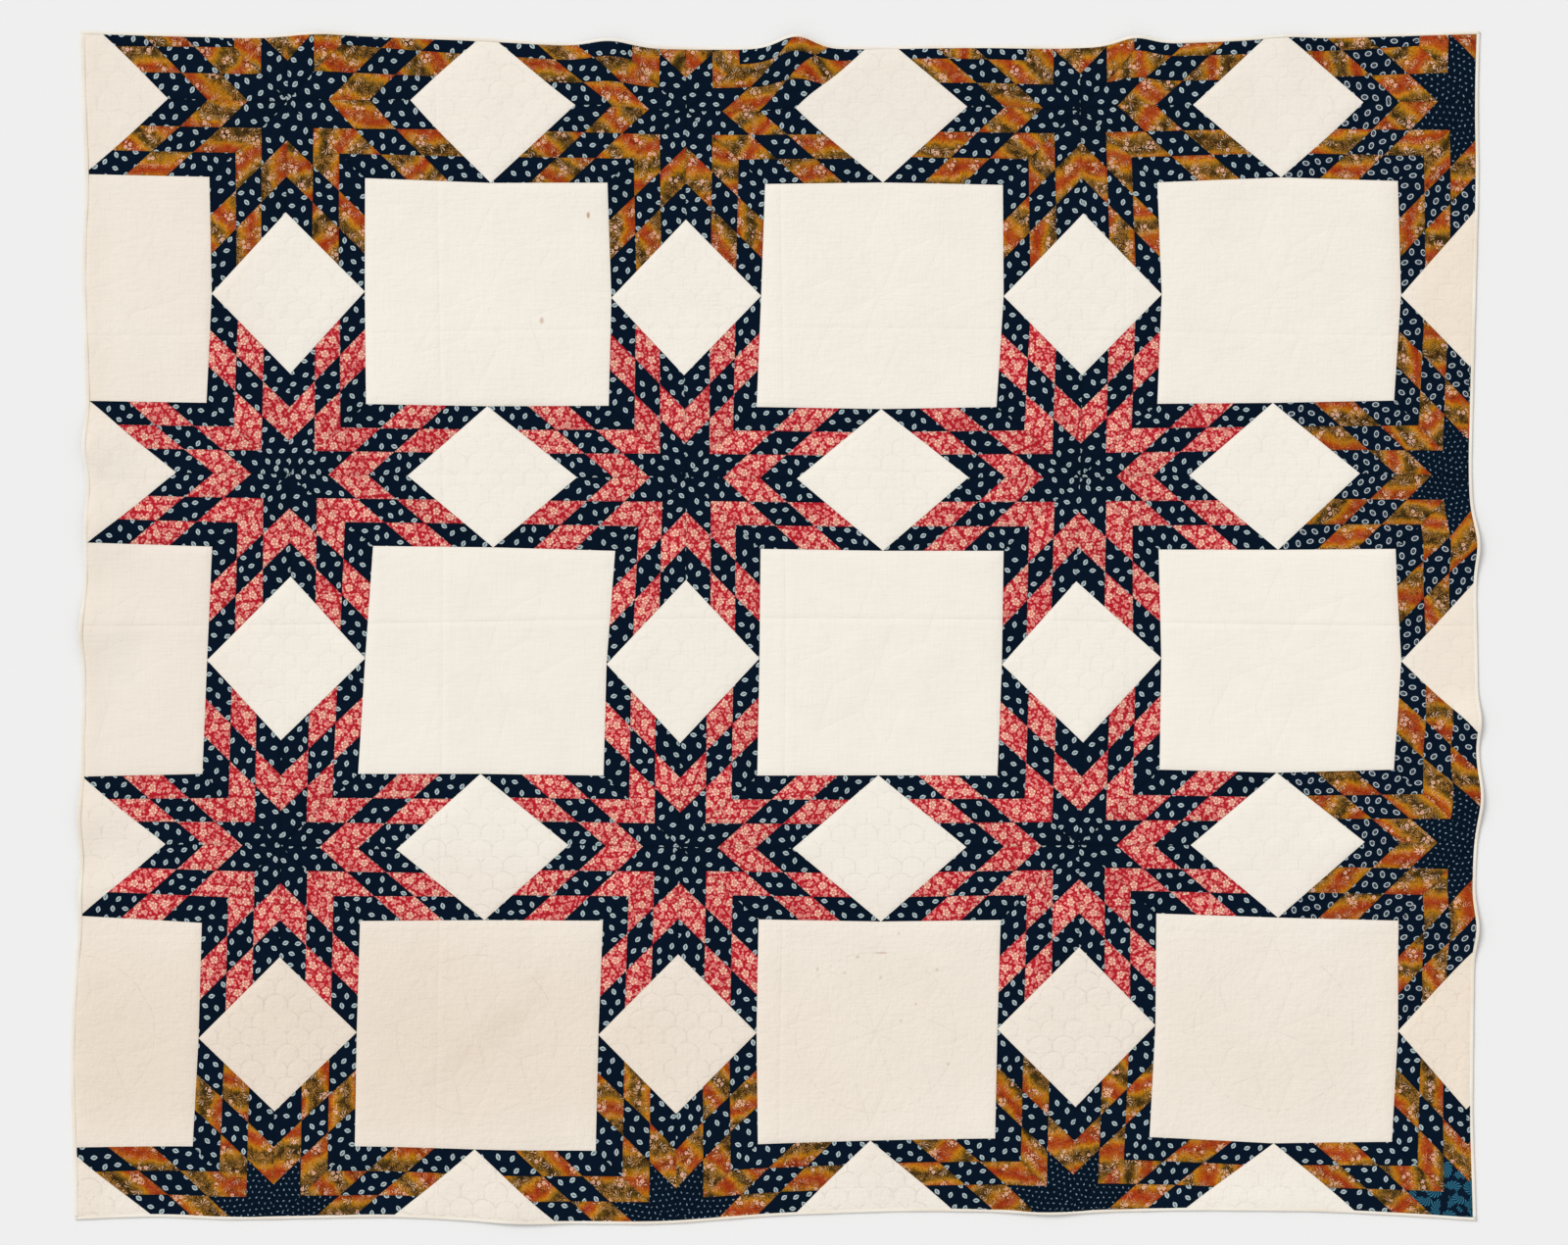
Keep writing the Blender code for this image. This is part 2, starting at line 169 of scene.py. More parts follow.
# Tips shared across a row, from below the first star on: left, right.
END_TIP_SHIFTS = (
    (((0, -6), (0, -3)), ((3, -6), (-2, -3)), ((0, -6), (8, -3)), ((11, -8), (0, 0))),
    (((-2, 0), (6, 3)), ((0, -3), (0, 6)), ((-2, -5), (8, 5)), ((11, -3), (0, 0))),
    (((-3, -11), (5, -2)), ((-5, -5), (3, -2)), ((-3, -3), (5, 3)), ((8, -5), (0, 0))),
)
ROWS = len(STAR_CENTRES)
COLUMNS = len(STAR_CENTRES[0])
# The cottons of each star: its heart, its rings of print, and the rings of navy with the tips.
STAR_COTTONS = (
    (("leaf", "ombre", "leaf"),) * 3 + (("pin", "ombre", "oval"),),
    (("leaf", "floral", "leaf"),) * 3 + (("pin", "ombre", "oval"),),
    (("leaf", "floral", "leaf"),) * 3 + (("pin", "ombre", "oval"),),
    (("pin", "ombre", "leaf"),) * 3 + (("fern", "ombre", "leaf"),),
)
# How a patch was cut from the printed cloth: the turns of its grain and how far it is off them, in degrees,
# and its place on the cloth in metres.
TURNS = (0, 0, 90, 45, -45, 180, 135, 0)
TURN_SPREAD = 9
CUT_PLACES = (5, 6)
# How far a plain square's quilting is askew, in degrees, as a wave over the quilt.
ASKEW = 6
ASKEW_WAVE = (9, 5)
KINDS = ("diamond", "square", "point")
PLAIN_SHIFT = {"square": 1.0, "point": 3.0}


def centre(row, column):
    """A star's centre in the plan; past the outer stars the steps go on."""
    inner_row = min(max(row, 0), ROWS - 1)
    inner_column = min(max(column, 0), COLUMNS - 1)
    x, y = STAR_CENTRES[inner_row][inner_column]
    return np.array((x + (column - inner_column) * STEP[0], y - (row - inner_row) * STEP[1]))


def shifted(spot, table, row, column, index):
    """A point of the plan, moved as its table of shifts says."""
    if 0 <= row < len(table) and 0 <= column < len(table[0]):
        return spot + MM * np.array(table[row][column][index])
    return spot


def corner_notch(row, column, side, end):
    """The right-angled notch of a star on its left or right side (-1, 1) and lower or upper end (-1, 1)."""
    spot = centre(row, column) + (side * CORNER_NOTCH[0], end * CORNER_NOTCH[1])
    return shifted(spot, CORNER_SHIFTS, row, column, 2 * (side > 0) + (end > 0))


def side_notch(row, column, side):
    """The notch of a star between the two arms on its left or right side."""
    return shifted(centre(row, column) + (side * SIDE_NOTCH, 0), NOTCH_SHIFTS, row, column, int(side > 0))


def end_notch(row, column, end):
    """The notch of a star between the two arms at its lower or upper end."""
    return shifted(centre(row, column) + (0, end * END_NOTCH), NOTCH_SHIFTS, row, column, 2 + (end > 0))


def side_tip(row, column, side, end):
    """The tip that a star shares with its neighbour to the left or right."""
    spot = (centre(row, column) + centre(row, column + side)) / 2 + (0, end * TIP_OFFSET[1])
    return shifted(spot, SIDE_TIP_SHIFTS, row, max(column, column + side), int(end > 0))


def end_tip(row, column, side, end):
    """The tip that a star shares with its neighbour above or below."""
    spot = (centre(row, column) + centre(row - end, column)) / 2 + (side * TIP_OFFSET[0], 0)
    return shifted(spot, END_TIP_SHIFTS, min(row, row - end), column, int(side > 0))


def star_diamonds(row, column):
    """The star's eight big diamonds, each as centre, inner notch, tip and outer notch."""
    here = centre(row, column)
    diamonds = []
    for side in (-1, 1):
        for end in (-1, 1):
            corner = corner_notch(row, column, side, end)
            diamonds.append((here, side_notch(row, column, side), side_tip(row, column, side, end), corner))
            diamonds.append((here, end_notch(row, column, end), end_tip(row, column, side, end), corner))
    return diamonds


def small_quads(corners):
    """A four-sided piece as its three by three quads, with each one's count from the first corner."""
    first, second, third, fourth = corners

    def spot(i, j):
        u, v = i / PIECES_A_SIDE, j / PIECES_A_SIDE
        return (1 - u) * (1 - v) * first + u * (1 - v) * second + u * v * third + (1 - u) * v * fourth

    for i in range(PIECES_A_SIDE):
        for j in range(PIECES_A_SIDE):
            yield i + j, [spot(i, j), spot(i + 1, j), spot(i + 1, j + 1), spot(i, j + 1)]


patches = []
draw = np.random.default_rng(1885)


def cut_patch(cotton, row, kind, outline, quads):
    """Cuts one patch: its outline, the quads that fill it, and how its print lies on it.
    On a plain piece the print's place is its place from the middle, plus a whole number of metres."""
    if kind == "diamond":
        turn = math.radians(draw.choice(TURNS) + draw.uniform(-TURN_SPREAD, TURN_SPREAD))
        shift = draw.uniform(*CUT_PLACES, 2)
    else:
        wave = math.sin(ASKEW_WAVE[0] * outline[0][0] + ASKEW_WAVE[1] * outline[0][1])
        turn = math.radians(ASKEW * wave) if kind == "square" else 0.0
        shift = np.full(2, PLAIN_SHIFT[kind])
    patches.append({"cotton": cotton, "row": row, "kind": kind, "quads": quads, "turn": turn, "shift": shift,
                    "outline": [outline[i * len(outline) // 8] for i in range(8)],
                    "middle": sum(outline) / len(outline), "tone": draw.uniform(-1, 1)})


for row in range(ROWS):
    for column in range(-1, COLUMNS):
        heart, ring, outer = STAR_COTTONS[row][column] if column >= 0 else ("muslin",) * 3
        order = (heart, ring, outer, ring, outer)
        for diamond in star_diamonds(row, column):
            for count, quad in small_quads(diamond):
                cut_patch(order[count], row, "diamond", quad, [quad])
        corners = [corner_notch(row, column, 1, -1), corner_notch(row, column + 1, -1, -1),
                   corner_notch(row + 1, column + 1, -1, 1), corner_notch(row + 1, column, 1, 1)]
        tips = [side_tip(row, column, 1, -1), end_tip(row, column + 1, -1, -1),
                side_tip(row + 1, column, 1, 1), end_tip(row, column, 1, -1)]
        middle = sum(corners) / 4
        quads = [quad for i in range(4)
                 for count, quad in small_quads((corners[i], tips[i], middle, tips[i - 1]))]
        cut_patch("muslin", row, "square", [spot for pair in zip(corners, tips) for spot in pair], quads)
        beside = (side_notch(row, column, 1), side_tip(row, column, 1, -1),
                  side_notch(row, column + 1, -1), side_tip(row, column, 1, 1))
        below = (end_notch(row, column, -1), end_tip(row, column, -1, -1),
                 end_notch(row + 1, column, 1), end_tip(row, column, 1, -1))
        for outline in (beside, below):
            cut_patch("muslin", row, "point", list(outline), [quad for count, quad in small_quads(outline)])

outlines = np.array([patch["outline"] for patch in patches])
middles = np.array([patch["middle"] for patch in patches])
turns = np.array([patch["turn"] for patch in patches])
shifts = np.array([patch["shift"] for patch in patches])
tones = np.array([patch["tone"] for patch in patches])
kinds = np.array([KINDS.index(patch["kind"]) for patch in patches])


# How the cloth lies.
# The bound edges wander a little from their straight lines and ripple off the floor in places, where
# the cloth is fuller than its edge. Old folds cross the quilt, and its top is never quite even.
EDGE_LINES = {
    "top": ((-1.09, 0.020), (-0.95, 0.016), (-0.80, 0.012), (-0.65, 0.016), (-0.45, 0.008), (-0.33, 0.001),
            (-0.15, -0.005), (0.10, -0.005), (0.30, -0.002), (0.45, -0.004), (0.60, 0.004), (0.75, 0.010),
            (0.90, 0.014), (1.09, 0.020)),
    "bottom": ((-1.09, 0.008), (-0.96, 0.002), (-0.85, 0.008), (-0.60, 0.003), (-0.48, 0.009),
               (-0.30, 0.014), (-0.18, 0.015), (0.00, 0.001), (0.20, -0.006), (0.45, -0.003),
               (0.64, -0.007), (0.85, -0.005), (1.00, 0.003), (1.09, 0.010)),
    "left": ((-0.92, 0.009), (-0.78, 0.013), (-0.68, 0.017), (-0.55, 0.012), (-0.44, 0.001), (-0.30, 0.001),
             (-0.10, -0.002), (0.05, -0.004), (0.22, -0.010), (0.36, -0.008), (0.55, -0.001), (0.70, -0.007),
             (0.83, -0.001), (0.92, 0.000)),
    "right": ((-0.92, 0.004), (-0.75, -0.002), (-0.58, 0.000), (-0.40, 0.002), (-0.25, 0.008),
              (-0.05, 0.006), (0.10, 0.003), (0.24, -0.004), (0.40, 0.000), (0.55, 0.004),
              (0.70, 0.008), (0.82, 0.006), (0.92, 0.010)),
}
# Ripples: side, place along it, width, extra distance outwards, height off the floor.
RIPPLES = (
    ("top", -0.715, 0.110, 0.004, 0.004),
    ("top", -0.258, 0.085, 0.009, 0.008),
    ("top", 0.030, 0.076, 0.018, 0.012),
    ("top", 0.555, 0.070, 0.010, 0.009),
    ("top", 0.790, 0.090, 0.003, 0.004),
    ("bottom", -0.400, 0.120, 0.003, 0.004),
    ("bottom", 0.420, 0.110, 0.003, 0.004),
    ("left", 0.282, 0.080, 0.006, 0.009),
    ("left", 0.155, 0.100, 0.002, 0.008),
    ("left", -0.005, 0.090, 0.005, 0.008),
    ("left", -0.295, 0.090, 0.003, 0.008),
    ("left", -0.415, 0.070, 0.002, 0.006),
    ("right", 0.130, 0.080, 0.007, 0.009),
    ("right", -0.145, 0.060, 0.004, 0.008),
    ("right", -0.265, 0.090, 0.007, 0.007),
    ("right", -0.465, 0.070, 0.006, 0.008),
)
# How far in from an edge its line and its ripples are felt.
EDGE_REACH = 0.150
RIPPLE_REACH = 0.110
# Old folds: the axis that each one crosses, its place, its depth.
FOLDS = ((0, -0.523, 0.00040), (0, 0.008, 0.00040), (0, 0.540, 0.00020), (1, 0.458, 0.00030),
         (1, 0.236, 0.00025), (1, 0.008, 0.00060), (1, -0.470, 0.00020))
FOLD_WIDTH = 0.0045
FOLD_SWAY = (0.006, 3.0, 1.5)
# Across a fold: the trough and the ridges beside it, each as a share of the depth and a place in widths.
FOLD_PROFILE = ((0.6, 1.6), (-1.0, 0.0), (0.5, -1.7))
# Waves of the uneven top: length and height, each drawn in some directions.
WAVES = ((0.340, 0.00045), (0.170, 0.00018), (0.085, 0.00009), (0.048, 0.00005))
WAVE_DIRECTIONS = 4
WAVE_STRETCH = (0.8, 1.25)


def ease(share):
    """A smooth step from 0 to 1."""
    share = np.clip(share, 0, 1)
    return share * share * (3 - 2 * share)


def edge_line(side, place):
    """How far an edge stands out there, with the corners of its table rounded off."""
    places, distances = zip(*EDGE_LINES[side])
    return sum(np.interp(place + step, places, distances) for step in (-0.04, -0.02, 0, 0.02, 0.04)) / 5


def lay(points):
    """Where the laid cloth has points of the plan, and how high it lifts them."""
    laid = points.copy()
    lifted = np.zeros(len(points))
    for side, (along, across, outward) in SIDES.items():
        inside = outward * (EDGES[side] - points[:, across]) - BINDING_COVER
        stand = edge_line(side, points[:, along])
        lift = np.zeros(len(points))
        for name, place, width, extra, height in RIPPLES:
            if name == side:
                wave = np.exp(-((points[:, along] - place) / (width / 2)) ** 2)
                stand = stand + extra * wave
                lift = lift + height * wave
        laid[:, across] += outward * stand * (1 - ease(inside / EDGE_REACH))
        lifted += lift * (1 - ease(inside / RIPPLE_REACH))
    return laid, lifted


def unevenness(points):
    """The rise and fall of the top, with the troughs of its old folds."""
    settle = np.random.default_rng(61)
    rise = np.zeros(len(points))
    for wave_length, height in WAVES:
        for _ in range(WAVE_DIRECTIONS):
            heading = settle.uniform(0, 2 * math.pi)
            run = points @ (math.cos(heading), math.sin(heading))
            run = run / (wave_length * settle.uniform(*WAVE_STRETCH))
            rise += height * np.sin(2 * math.pi * run + settle.uniform(0, 2 * math.pi))
    for across, place, depth in FOLDS:
        sway = place + FOLD_SWAY[0] * np.sin(points[:, 1 - across] * FOLD_SWAY[1] + FOLD_SWAY[2])
        away = (points[:, across] - sway) / FOLD_WIDTH
        for share, step in FOLD_PROFILE:
            rise += depth * share * np.exp(-(away - step) ** 2)
    return rise


# The hand quilting.
# Plain squares carry an eight-pointed star, in the bottom row with a ring, and squares on point rows of
# scallops. Running stitches pull the top down along these lines, and the batting fills it between.
# Half an arm of the stitched star, from the middle by a notch to the tip, and the radius of the ring.
STAR_LINE = ((0.0, 0.0), (0.0702, 0.0291), (0.1420, 0.0))
STAR_POINTS = 8
RING_LINE = 0.124
# An arch's width and height, the step from row to row, and the arch's mean radius.
SCALLOP = (0.0356, 0.0140)
SCALLOP_STEP = 0.0252
ARCH_REACH = 0.016
# How wide and how deep a stitched line pulls the top down, and how soon the cloth fills out from a seam.
STITCH_WIDTH = 0.0035
STITCH_DEPTH = 0.19
SEAM_WIDTH = 0.0065
# Farther than any seam or line.
FAR = 1.0


def wrap(value, step):
    """Brings a value to within half a step of 0."""
    return value - step * np.round(value / step)


def quilted_star(x, y):
    """How far a point of a plain square is from the nearest line of its star."""
    r = np.hypot(x, y)
    a = abs(wrap(np.arctan2(y, x), 2 * math.pi / STAR_POINTS))
    lines = []
    for (start_x, start_y), (end_x, end_y) in zip(STAR_LINE, STAR_LINE[1:]):
        run_x, run_y = end_x - start_x, end_y - start_y
        off_x, off_y = r * np.cos(a) - start_x, r * np.sin(a) - start_y
        share = np.clip((off_x * run_x + off_y * run_y) / (run_x ** 2 + run_y ** 2), 0, 1)
        lines.append(np.hypot(off_x - share * run_x, off_y - share * run_y))
    return np.min(lines, axis=0)


def scallops(x, y):
    """How far a point of a square on point is from the nearest arch, or the short line at its foot."""
    wide, high = SCALLOP
    row = np.floor(y / SCALLOP_STEP)
    up = y - row * SCALLOP_STEP
    sideways = wrap(x - wide / 2 * (row % 2), wide)
    arch = abs(np.hypot(sideways * 2 / wide, up / high) - 1) * ARCH_REACH
    foot = np.hypot(sideways, np.maximum(high - up, 0))
    return np.minimum(arch, foot)


def seam_distance(points, owner):
    """How far each point is from the seams round its own patch."""
    start = outlines[owner]
    run = np.roll(start, -1, axis=1) - start
    reach = points[:, None] - start
    share = np.clip((reach * run).sum(2) / np.maximum((run * run).sum(2), 1e-12), 0, 1)
    return np.linalg.norm(reach - share[..., None] * run, axis=2).min(axis=1)


def from_middle(points, owner):
    """Each point's place from the middle of its patch, turned to the patch's own grain."""
    away_x, away_y = (points - middles[owner]).T
    cosine, sine = np.cos(turns[owner]), np.sin(turns[owner])
    return np.stack((cosine * away_x + sine * away_y, cosine * away_y - sine * away_x), 1)


def relief(points, owner):
    """How full the quilt is at each point, from 0 on a seam or stitched line to 1, and the seam distance."""
    seam = seam_distance(points, owner)
    local = from_middle(points, owner)
    line = np.full(len(points), FAR)
    for kind, pattern in ((KINDS.index("square"), quilted_star), (KINDS.index("point"), scallops)):
        chosen = kinds[owner] == kind
        line[chosen] = pattern(local[chosen, 0], local[chosen, 1])
    rim = np.min([outward * (EDGES[side] - points[:, across]) - BINDING_SHOWN[side]
                  for side, (along, across, outward) in SIDES.items()], axis=0)
    full = (1 - np.exp(-seam / SEAM_WIDTH)) * (1 - np.exp(-np.maximum(rim, 0) / SEAM_WIDTH))
    full *= 1 - STITCH_DEPTH * np.exp(-(line / STITCH_WIDTH) ** 2)
    return full, seam


# The pieces of cotton.
# Patches of one print in one row of stars make one piece here, each patch with its own grain direction
# and its own part of the print, sewn edge to edge with the rest.
SEAM_HEIGHT = 0.0027
WELD = 0.0003
# How full each kind of patch is, and the share of the top's unevenness that its seams have.
FULLNESS = (0.0014, 0.0017, 0.0016)
SEAM_SHARE = 0.35
TOP_CELLS = 14


def cut_to_edges(work):
    """Trims a flat sheet along the four bound edges."""
    for side, (along, across, outward) in SIDES.items():
        spot, normal = [0, 0, 0], [0, 0, 0]
        spot[across] = EDGES[side] - outward * BINDING_SHOWN[side]
        normal[across] = outward
        bmesh.ops.bisect_plane(work, geom=work.verts[:] + work.edges[:] + work.faces[:],
                               plane_co=spot, plane_no=normal, clear_outer=True)


def flat_sheet(members, cells):
    """The flat patches of some numbers, sewn together and divided finely, each face knowing its patch."""
    work = bmesh.new()
    tag = work.faces.layers.int.new("patch")
    for number in members:
        for quad in patches[number]["quads"]:
            (ax, ay), (bx, by), (cx, cy) = quad[0], quad[1], quad[2]
            if (bx - ax) * (cy - ay) < (by - ay) * (cx - ax):
                quad = quad[::-1]
            work.faces.new([work.verts.new((*spot, 0)) for spot in quad])[tag] = number
    bmesh.ops.remove_doubles(work, verts=work.verts, dist=WELD)
    bmesh.ops.subdivide_edges(work, edges=work.edges, cuts=cells - 1, use_grid_fill=True)
    cut_to_edges(work)
    return work


def read_all(items, key, width=1, kind=float):
    """One property of every item of a mesh, as an array."""
    values = np.empty(len(items) * width, dtype=kind)
    items.foreach_get(key, values)
    return values


def read_corners(mesh):
    """The mesh's points, and the point at each corner of its faces."""
    return read_all(mesh.vertices, "co", 3).reshape(-1, 3), read_all(mesh.loops, "vertex_index", 1, np.int32)


def lay_print(mesh):
    """Lays each patch's print on it, turned to its own grain, in metres, and gives it its own tone.
    Gives the mesh's points in the plan, and the patch that each belongs to."""
    points, corner_vertex = read_corners(mesh)
    tags = read_all(mesh.attributes["patch"].data, "value", 1, np.int32)
    corner_patch = np.repeat(tags, read_all(mesh.polygons, "loop_total", 1, np.int32))
    printed = from_middle(points[corner_vertex, :2], corner_patch) + shifts[corner_patch]
    mesh.uv_layers.new(name="print").data.foreach_set("uv", printed.ravel())
    mesh.attributes.new("tone", "FLOAT", "FACE").data.foreach_set("value", tones[tags].astype(np.float32))
    mesh.attributes.remove(mesh.attributes["patch"])
    owner = np.zeros(len(points), dtype=np.int32)
    owner[corner_vertex] = corner_patch
    return points, owner


def lay_down(mesh, points, height, seam, material):
    """Lays a mesh of the plan as the cloth lies, gives it its seam distances and finish, and shows it."""
    laid, lifted = lay(points[:, :2])
    mesh.vertices.foreach_set("co", np.column_stack((laid, height + lifted)).ravel())
    mesh.attributes.new("seam", "FLOAT", "POINT").data.foreach_set("value", seam.astype(np.float32))
    mesh.shade_smooth()
    mesh.materials.append(material)
    return add_object(mesh.name, mesh)


def sew(name, members, material):
    """Makes one piece of the quilt's top of the patches with these numbers."""
    mesh = bpy.data.meshes.new(name)
    work = flat_sheet(members, TOP_CELLS)
    work.to_mesh(mesh)
    work.free()
    points, owner = lay_print(mesh)
    full, seam = relief(points[:, :2], owner)
    puff = np.array(FULLNESS)[kinds[owner]]
    uneven = unevenness(points[:, :2]) * (SEAM_SHARE + (1 - SEAM_SHARE) * full)
    made = lay_down(mesh, points, SEAM_HEIGHT + full * puff + uneven, seam, material)
    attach(made, "root")
    return made


# What the cottons share.
# All are plain-woven and block or roller printed in repeats, with small motifs scattered over the ground,
# and all have the same threads, puckers and wear. The finishes are built from these nodes.
def feed(socket, value):
    """Sets a socket to a number or colour, or links another node's output to it."""
    if isinstance(value, bpy.types.NodeSocket):
        socket.id_data.links.new(value, socket)
    else:
        socket.default_value = value


def put(tree, kind, settings=None, **values):
    """Adds a node, with its settings and with inputs named by underscored names."""
    made = tree.nodes.new(kind)
    for key, value in (settings or {}).items():
        setattr(made, key, value)
    for key, value in values.items():
        feed(made.inputs[key.replace("_", " ")], value)
    return made


def put_beside(values, kind, settings=None):
    """Adds a node to the tree of the first value that is a node's output, and feeds it all the values."""
    tree = next(value.id_data for value in values if isinstance(value, bpy.types.NodeSocket))
    made = put(tree, kind, settings)
    for socket, value in zip(made.inputs, values):
        feed(socket, value)
    return made


def calc(operation, *values):
    """A Math node's result; a value is a number or another node's output."""
    return put_beside(values, "ShaderNodeMath", {"operation": operation}).outputs[0]


def times(first, *others):
    """The product of some values."""
    for value in others:
        first = calc("MULTIPLY", first, value)
    return first


def plus(first, *others):
    """The sum of some values."""
    for value in others:
        first = calc("ADD", first, value)
    return first


def minus(first, second):
    """The difference of two values."""
    return calc("SUBTRACT", first, second)


def over(first, second):
    """The quotient of two values."""
    return calc("DIVIDE", first, second)


def size_of(value):
    """A value without its sign."""
    return calc("ABSOLUTE", value)


def length(first, second):
    """The length of a two-part vector."""
    return calc("SQRT", plus(times(first, first), times(second, second)))


def away_from(value, middle):
    """How far a value is from another."""
    return size_of(minus(value, middle))


def step_up(value, low, high):
    """A smooth mask that goes from 0 at low to 1 at high; low may be the larger."""
    values = (value, low, high, 0.0, 1.0)
    return put_beside(values, "ShaderNodeMapRange", {"interpolation_type": "SMOOTHSTEP"}).outputs[0]


def blend(share, first, second):
    """A colour between two."""
    made = put(share.id_data, "ShaderNodeMix", {"data_type": "RGBA"})
    for index, value in ((0, share), (6, first), (7, second)):
        feed(made.inputs[index], value)
    return made.outputs[2]


def noise(place, scale, detail=2.0, roughness=0.5):
    """A soft noise from 0 to 1."""
    return put(place.id_data, "ShaderNodeTexNoise", Vector=place, Scale=scale, Detail=detail,
               Roughness=roughness).outputs["Fac"]


def stretched_noise(place, scales):
    """A noise with its own scale along each axis."""
    stretched = put_beside((place, scales), "ShaderNodeVectorMath", {"operation": "MULTIPLY"})
    return noise(stretched.outputs[0], 1.0)


def parts_of(place):
    """A vector's three parts."""
    return put(place.id_data, "ShaderNodeSeparateXYZ", Vector=place).outputs


def new_group(name, inputs, outputs):
    """An empty node group with typed sockets; gives the group, its inputs and a way to set its outputs."""
    group = bpy.data.node_groups.new(name, "ShaderNodeTree")
    for socket_name, kind in inputs:
        group.interface.new_socket(socket_name, in_out="INPUT", socket_type="NodeSocket" + kind)
    for socket_name, kind in outputs:
        group.interface.new_socket(socket_name, in_out="OUTPUT", socket_type="NodeSocket" + kind)
    entry = group.nodes.new("NodeGroupInput").outputs
    exit_inputs = group.nodes.new("NodeGroupOutput").inputs

    def give(socket_name, value):
        group.links.new(value, exit_inputs[socket_name])

    return group, entry, give


def use_group(tree, group, **values):
    """Places a group in a tree."""
    made = tree.nodes.new("ShaderNodeGroup")
    made.node_tree = group
    for key, value in values.items():
        feed(made.inputs[key.replace("_", " ")], value)
    return made.outputs


def print_place(tree):
    """The place on the printed cloth in millimetres, as a vector."""
    place = put(tree, "ShaderNodeUVMap", {"uv_map": "print"})
    scaled = put(tree, "ShaderNodeVectorMath", {"operation": "SCALE"}, Vector=place.outputs[0], Scale=1000.0)
    return scaled.outputs[0]


# One printed motif to a cell of a brick pattern, nudged and turned by chance.
scatter, given, give = new_group("scattered_motifs",
                                 (("Place", "Vector"), ("Step", "Float"), ("Row", "Float"),
                                  ("Nudge", "Float"), ("Turn", "Float"), ("Seed", "Float")),
                                 (("Along", "Float"), ("Across", "Float"), ("Chance", "Float")))
apart = parts_of(given["Place"])
line = over(apart[1], given["Row"])
line_number = calc("FLOOR", line)
half_step = times(calc("FLOORED_MODULO", line_number, 2.0), 0.5)
cell = plus(over(apart[0], given["Step"]), half_step)
cell_number = calc("FLOOR", cell)
address = put(scatter, "ShaderNodeCombineXYZ", X=cell_number, Y=line_number, Z=given["Seed"])
chance = put(scatter, "ShaderNodeTexWhiteNoise", {"noise_dimensions": "3D"}, Vector=address.outputs[0])
chances = put(scatter, "ShaderNodeSeparateColor", Color=chance.outputs["Color"]).outputs
nudged = []
for share, number, random_share, size in ((cell, cell_number, chances[0], given["Step"]),
                                          (line, line_number, chances[1], given["Row"])):
    inside = minus(minus(share, number), 0.5)
    move = times(minus(random_share, 0.5), given["Nudge"])
    nudged.append(times(minus(inside, move), size))
angle = times(chances[2], given["Turn"])
cosine, sine = calc("COSINE", angle), calc("SINE", angle)
give("Along", plus(times(nudged[0], cosine), times(nudged[1], sine)))
give("Across", minus(times(nudged[1], cosine), times(nudged[0], sine)))
give("Chance", chance.outputs["Value"])


def scattered(place, step, row, nudge, seed, turn=2 * math.pi):
    """The nearest of some scattered motifs: the place along and across it, and its chance."""
    return use_group(place.id_data, scatter, Place=place, Step=step, Row=row, Nudge=nudge, Turn=turn,
                     Seed=seed)


# The cloth's own surface: threads, slight puckers and crinkles, its wear, and the shade in a seam.
THREAD_STEP = 0.55
SEAM_SHADE_REACH = 0.0045
surface, given, give = new_group("cotton_surface",
                                 (("Colour", "Color"), ("Wear", "Float"), ("Seam", "Float"),
                                  ("Groove", "Float")), (("Colour", "Color"), ("Height", "Float")))
thread_parts = parts_of(print_place(surface))
warp, weft = (size_of(calc("SINE", times(thread_parts[axis], math.pi / THREAD_STEP))) for axis in range(2))
weave = times(warp, weft)
where = put(surface, "ShaderNodeTexCoord").outputs["Object"]
crinkles = stretched_noise(where, (30.0, 190.0, 30.0))
cross_crinkles = stretched_noise(where, (210.0, 24.0, 24.0))
puckers = noise(where, 75.0, 3.0, 0.55)
rumples = noise(where, 22.0, 2.0, 0.5)
blotches = noise(where, 14.0, 4.0, 0.6)
patch_tone = put(surface, "ShaderNodeAttribute", {"attribute_name": "tone"}).outputs["Fac"]
seam_away = put(surface, "ShaderNodeAttribute", {"attribute_name": "seam"}).outputs["Fac"]
seam_shade = times(step_up(seam_away, SEAM_SHADE_REACH, 0.0), given["Seam"])
changed = plus(times(minus(blotches, 0.5), 2.0), times(patch_tone, 0.35))
tone = plus(1.0, times(changed, given["Wear"]))
tone = times(tone, plus(0.975, times(weave, 0.05)), minus(1.0, seam_shade))
toned = put(surface, "ShaderNodeVectorMath", {"operation": "SCALE"}, Vector=given["Colour"], Scale=tone)
give("Colour", toned.outputs[0])
height = plus(times(crinkles, 0.60), times(puckers, 0.50), times(cross_crinkles, 0.42), times(rumples, 1.30),
              times(weave, 0.012))
give("Height", minus(height, given["Groove"]))


def finish_cotton(shader, colour, wear=0.16, seam=0.16, groove=0.0):
    """Gives a printed or plain colour its weave, wear and puckers, and leads it to the shader.
    The groove is the depth in millimetres of what is stitched into it."""
    tree = shader.id_data
    worn = use_group(tree, surface, Colour=colour, Wear=wear, Seam=seam, Groove=groove)
    bump = put(tree, "ShaderNodeBump", Strength=1.0, Distance=MM, Height=worn["Height"])
    feed(shader.inputs["Base Color"], worn["Colour"])
    feed(shader.inputs["Normal"], bump.outputs[0])


def sew_rows(title, cotton, material):
    """Makes the pieces of one cotton, one for each row of stars that has it."""
    made = []
    for row in range(ROWS):
        members = [number for number, patch in enumerate(patches)
                   if (patch["cotton"], patch["row"]) == (cotton, row)]
        if members:
            made.append(sew(f"{title}_row_{row + 1}", members, material))
    return made


top_pieces = []


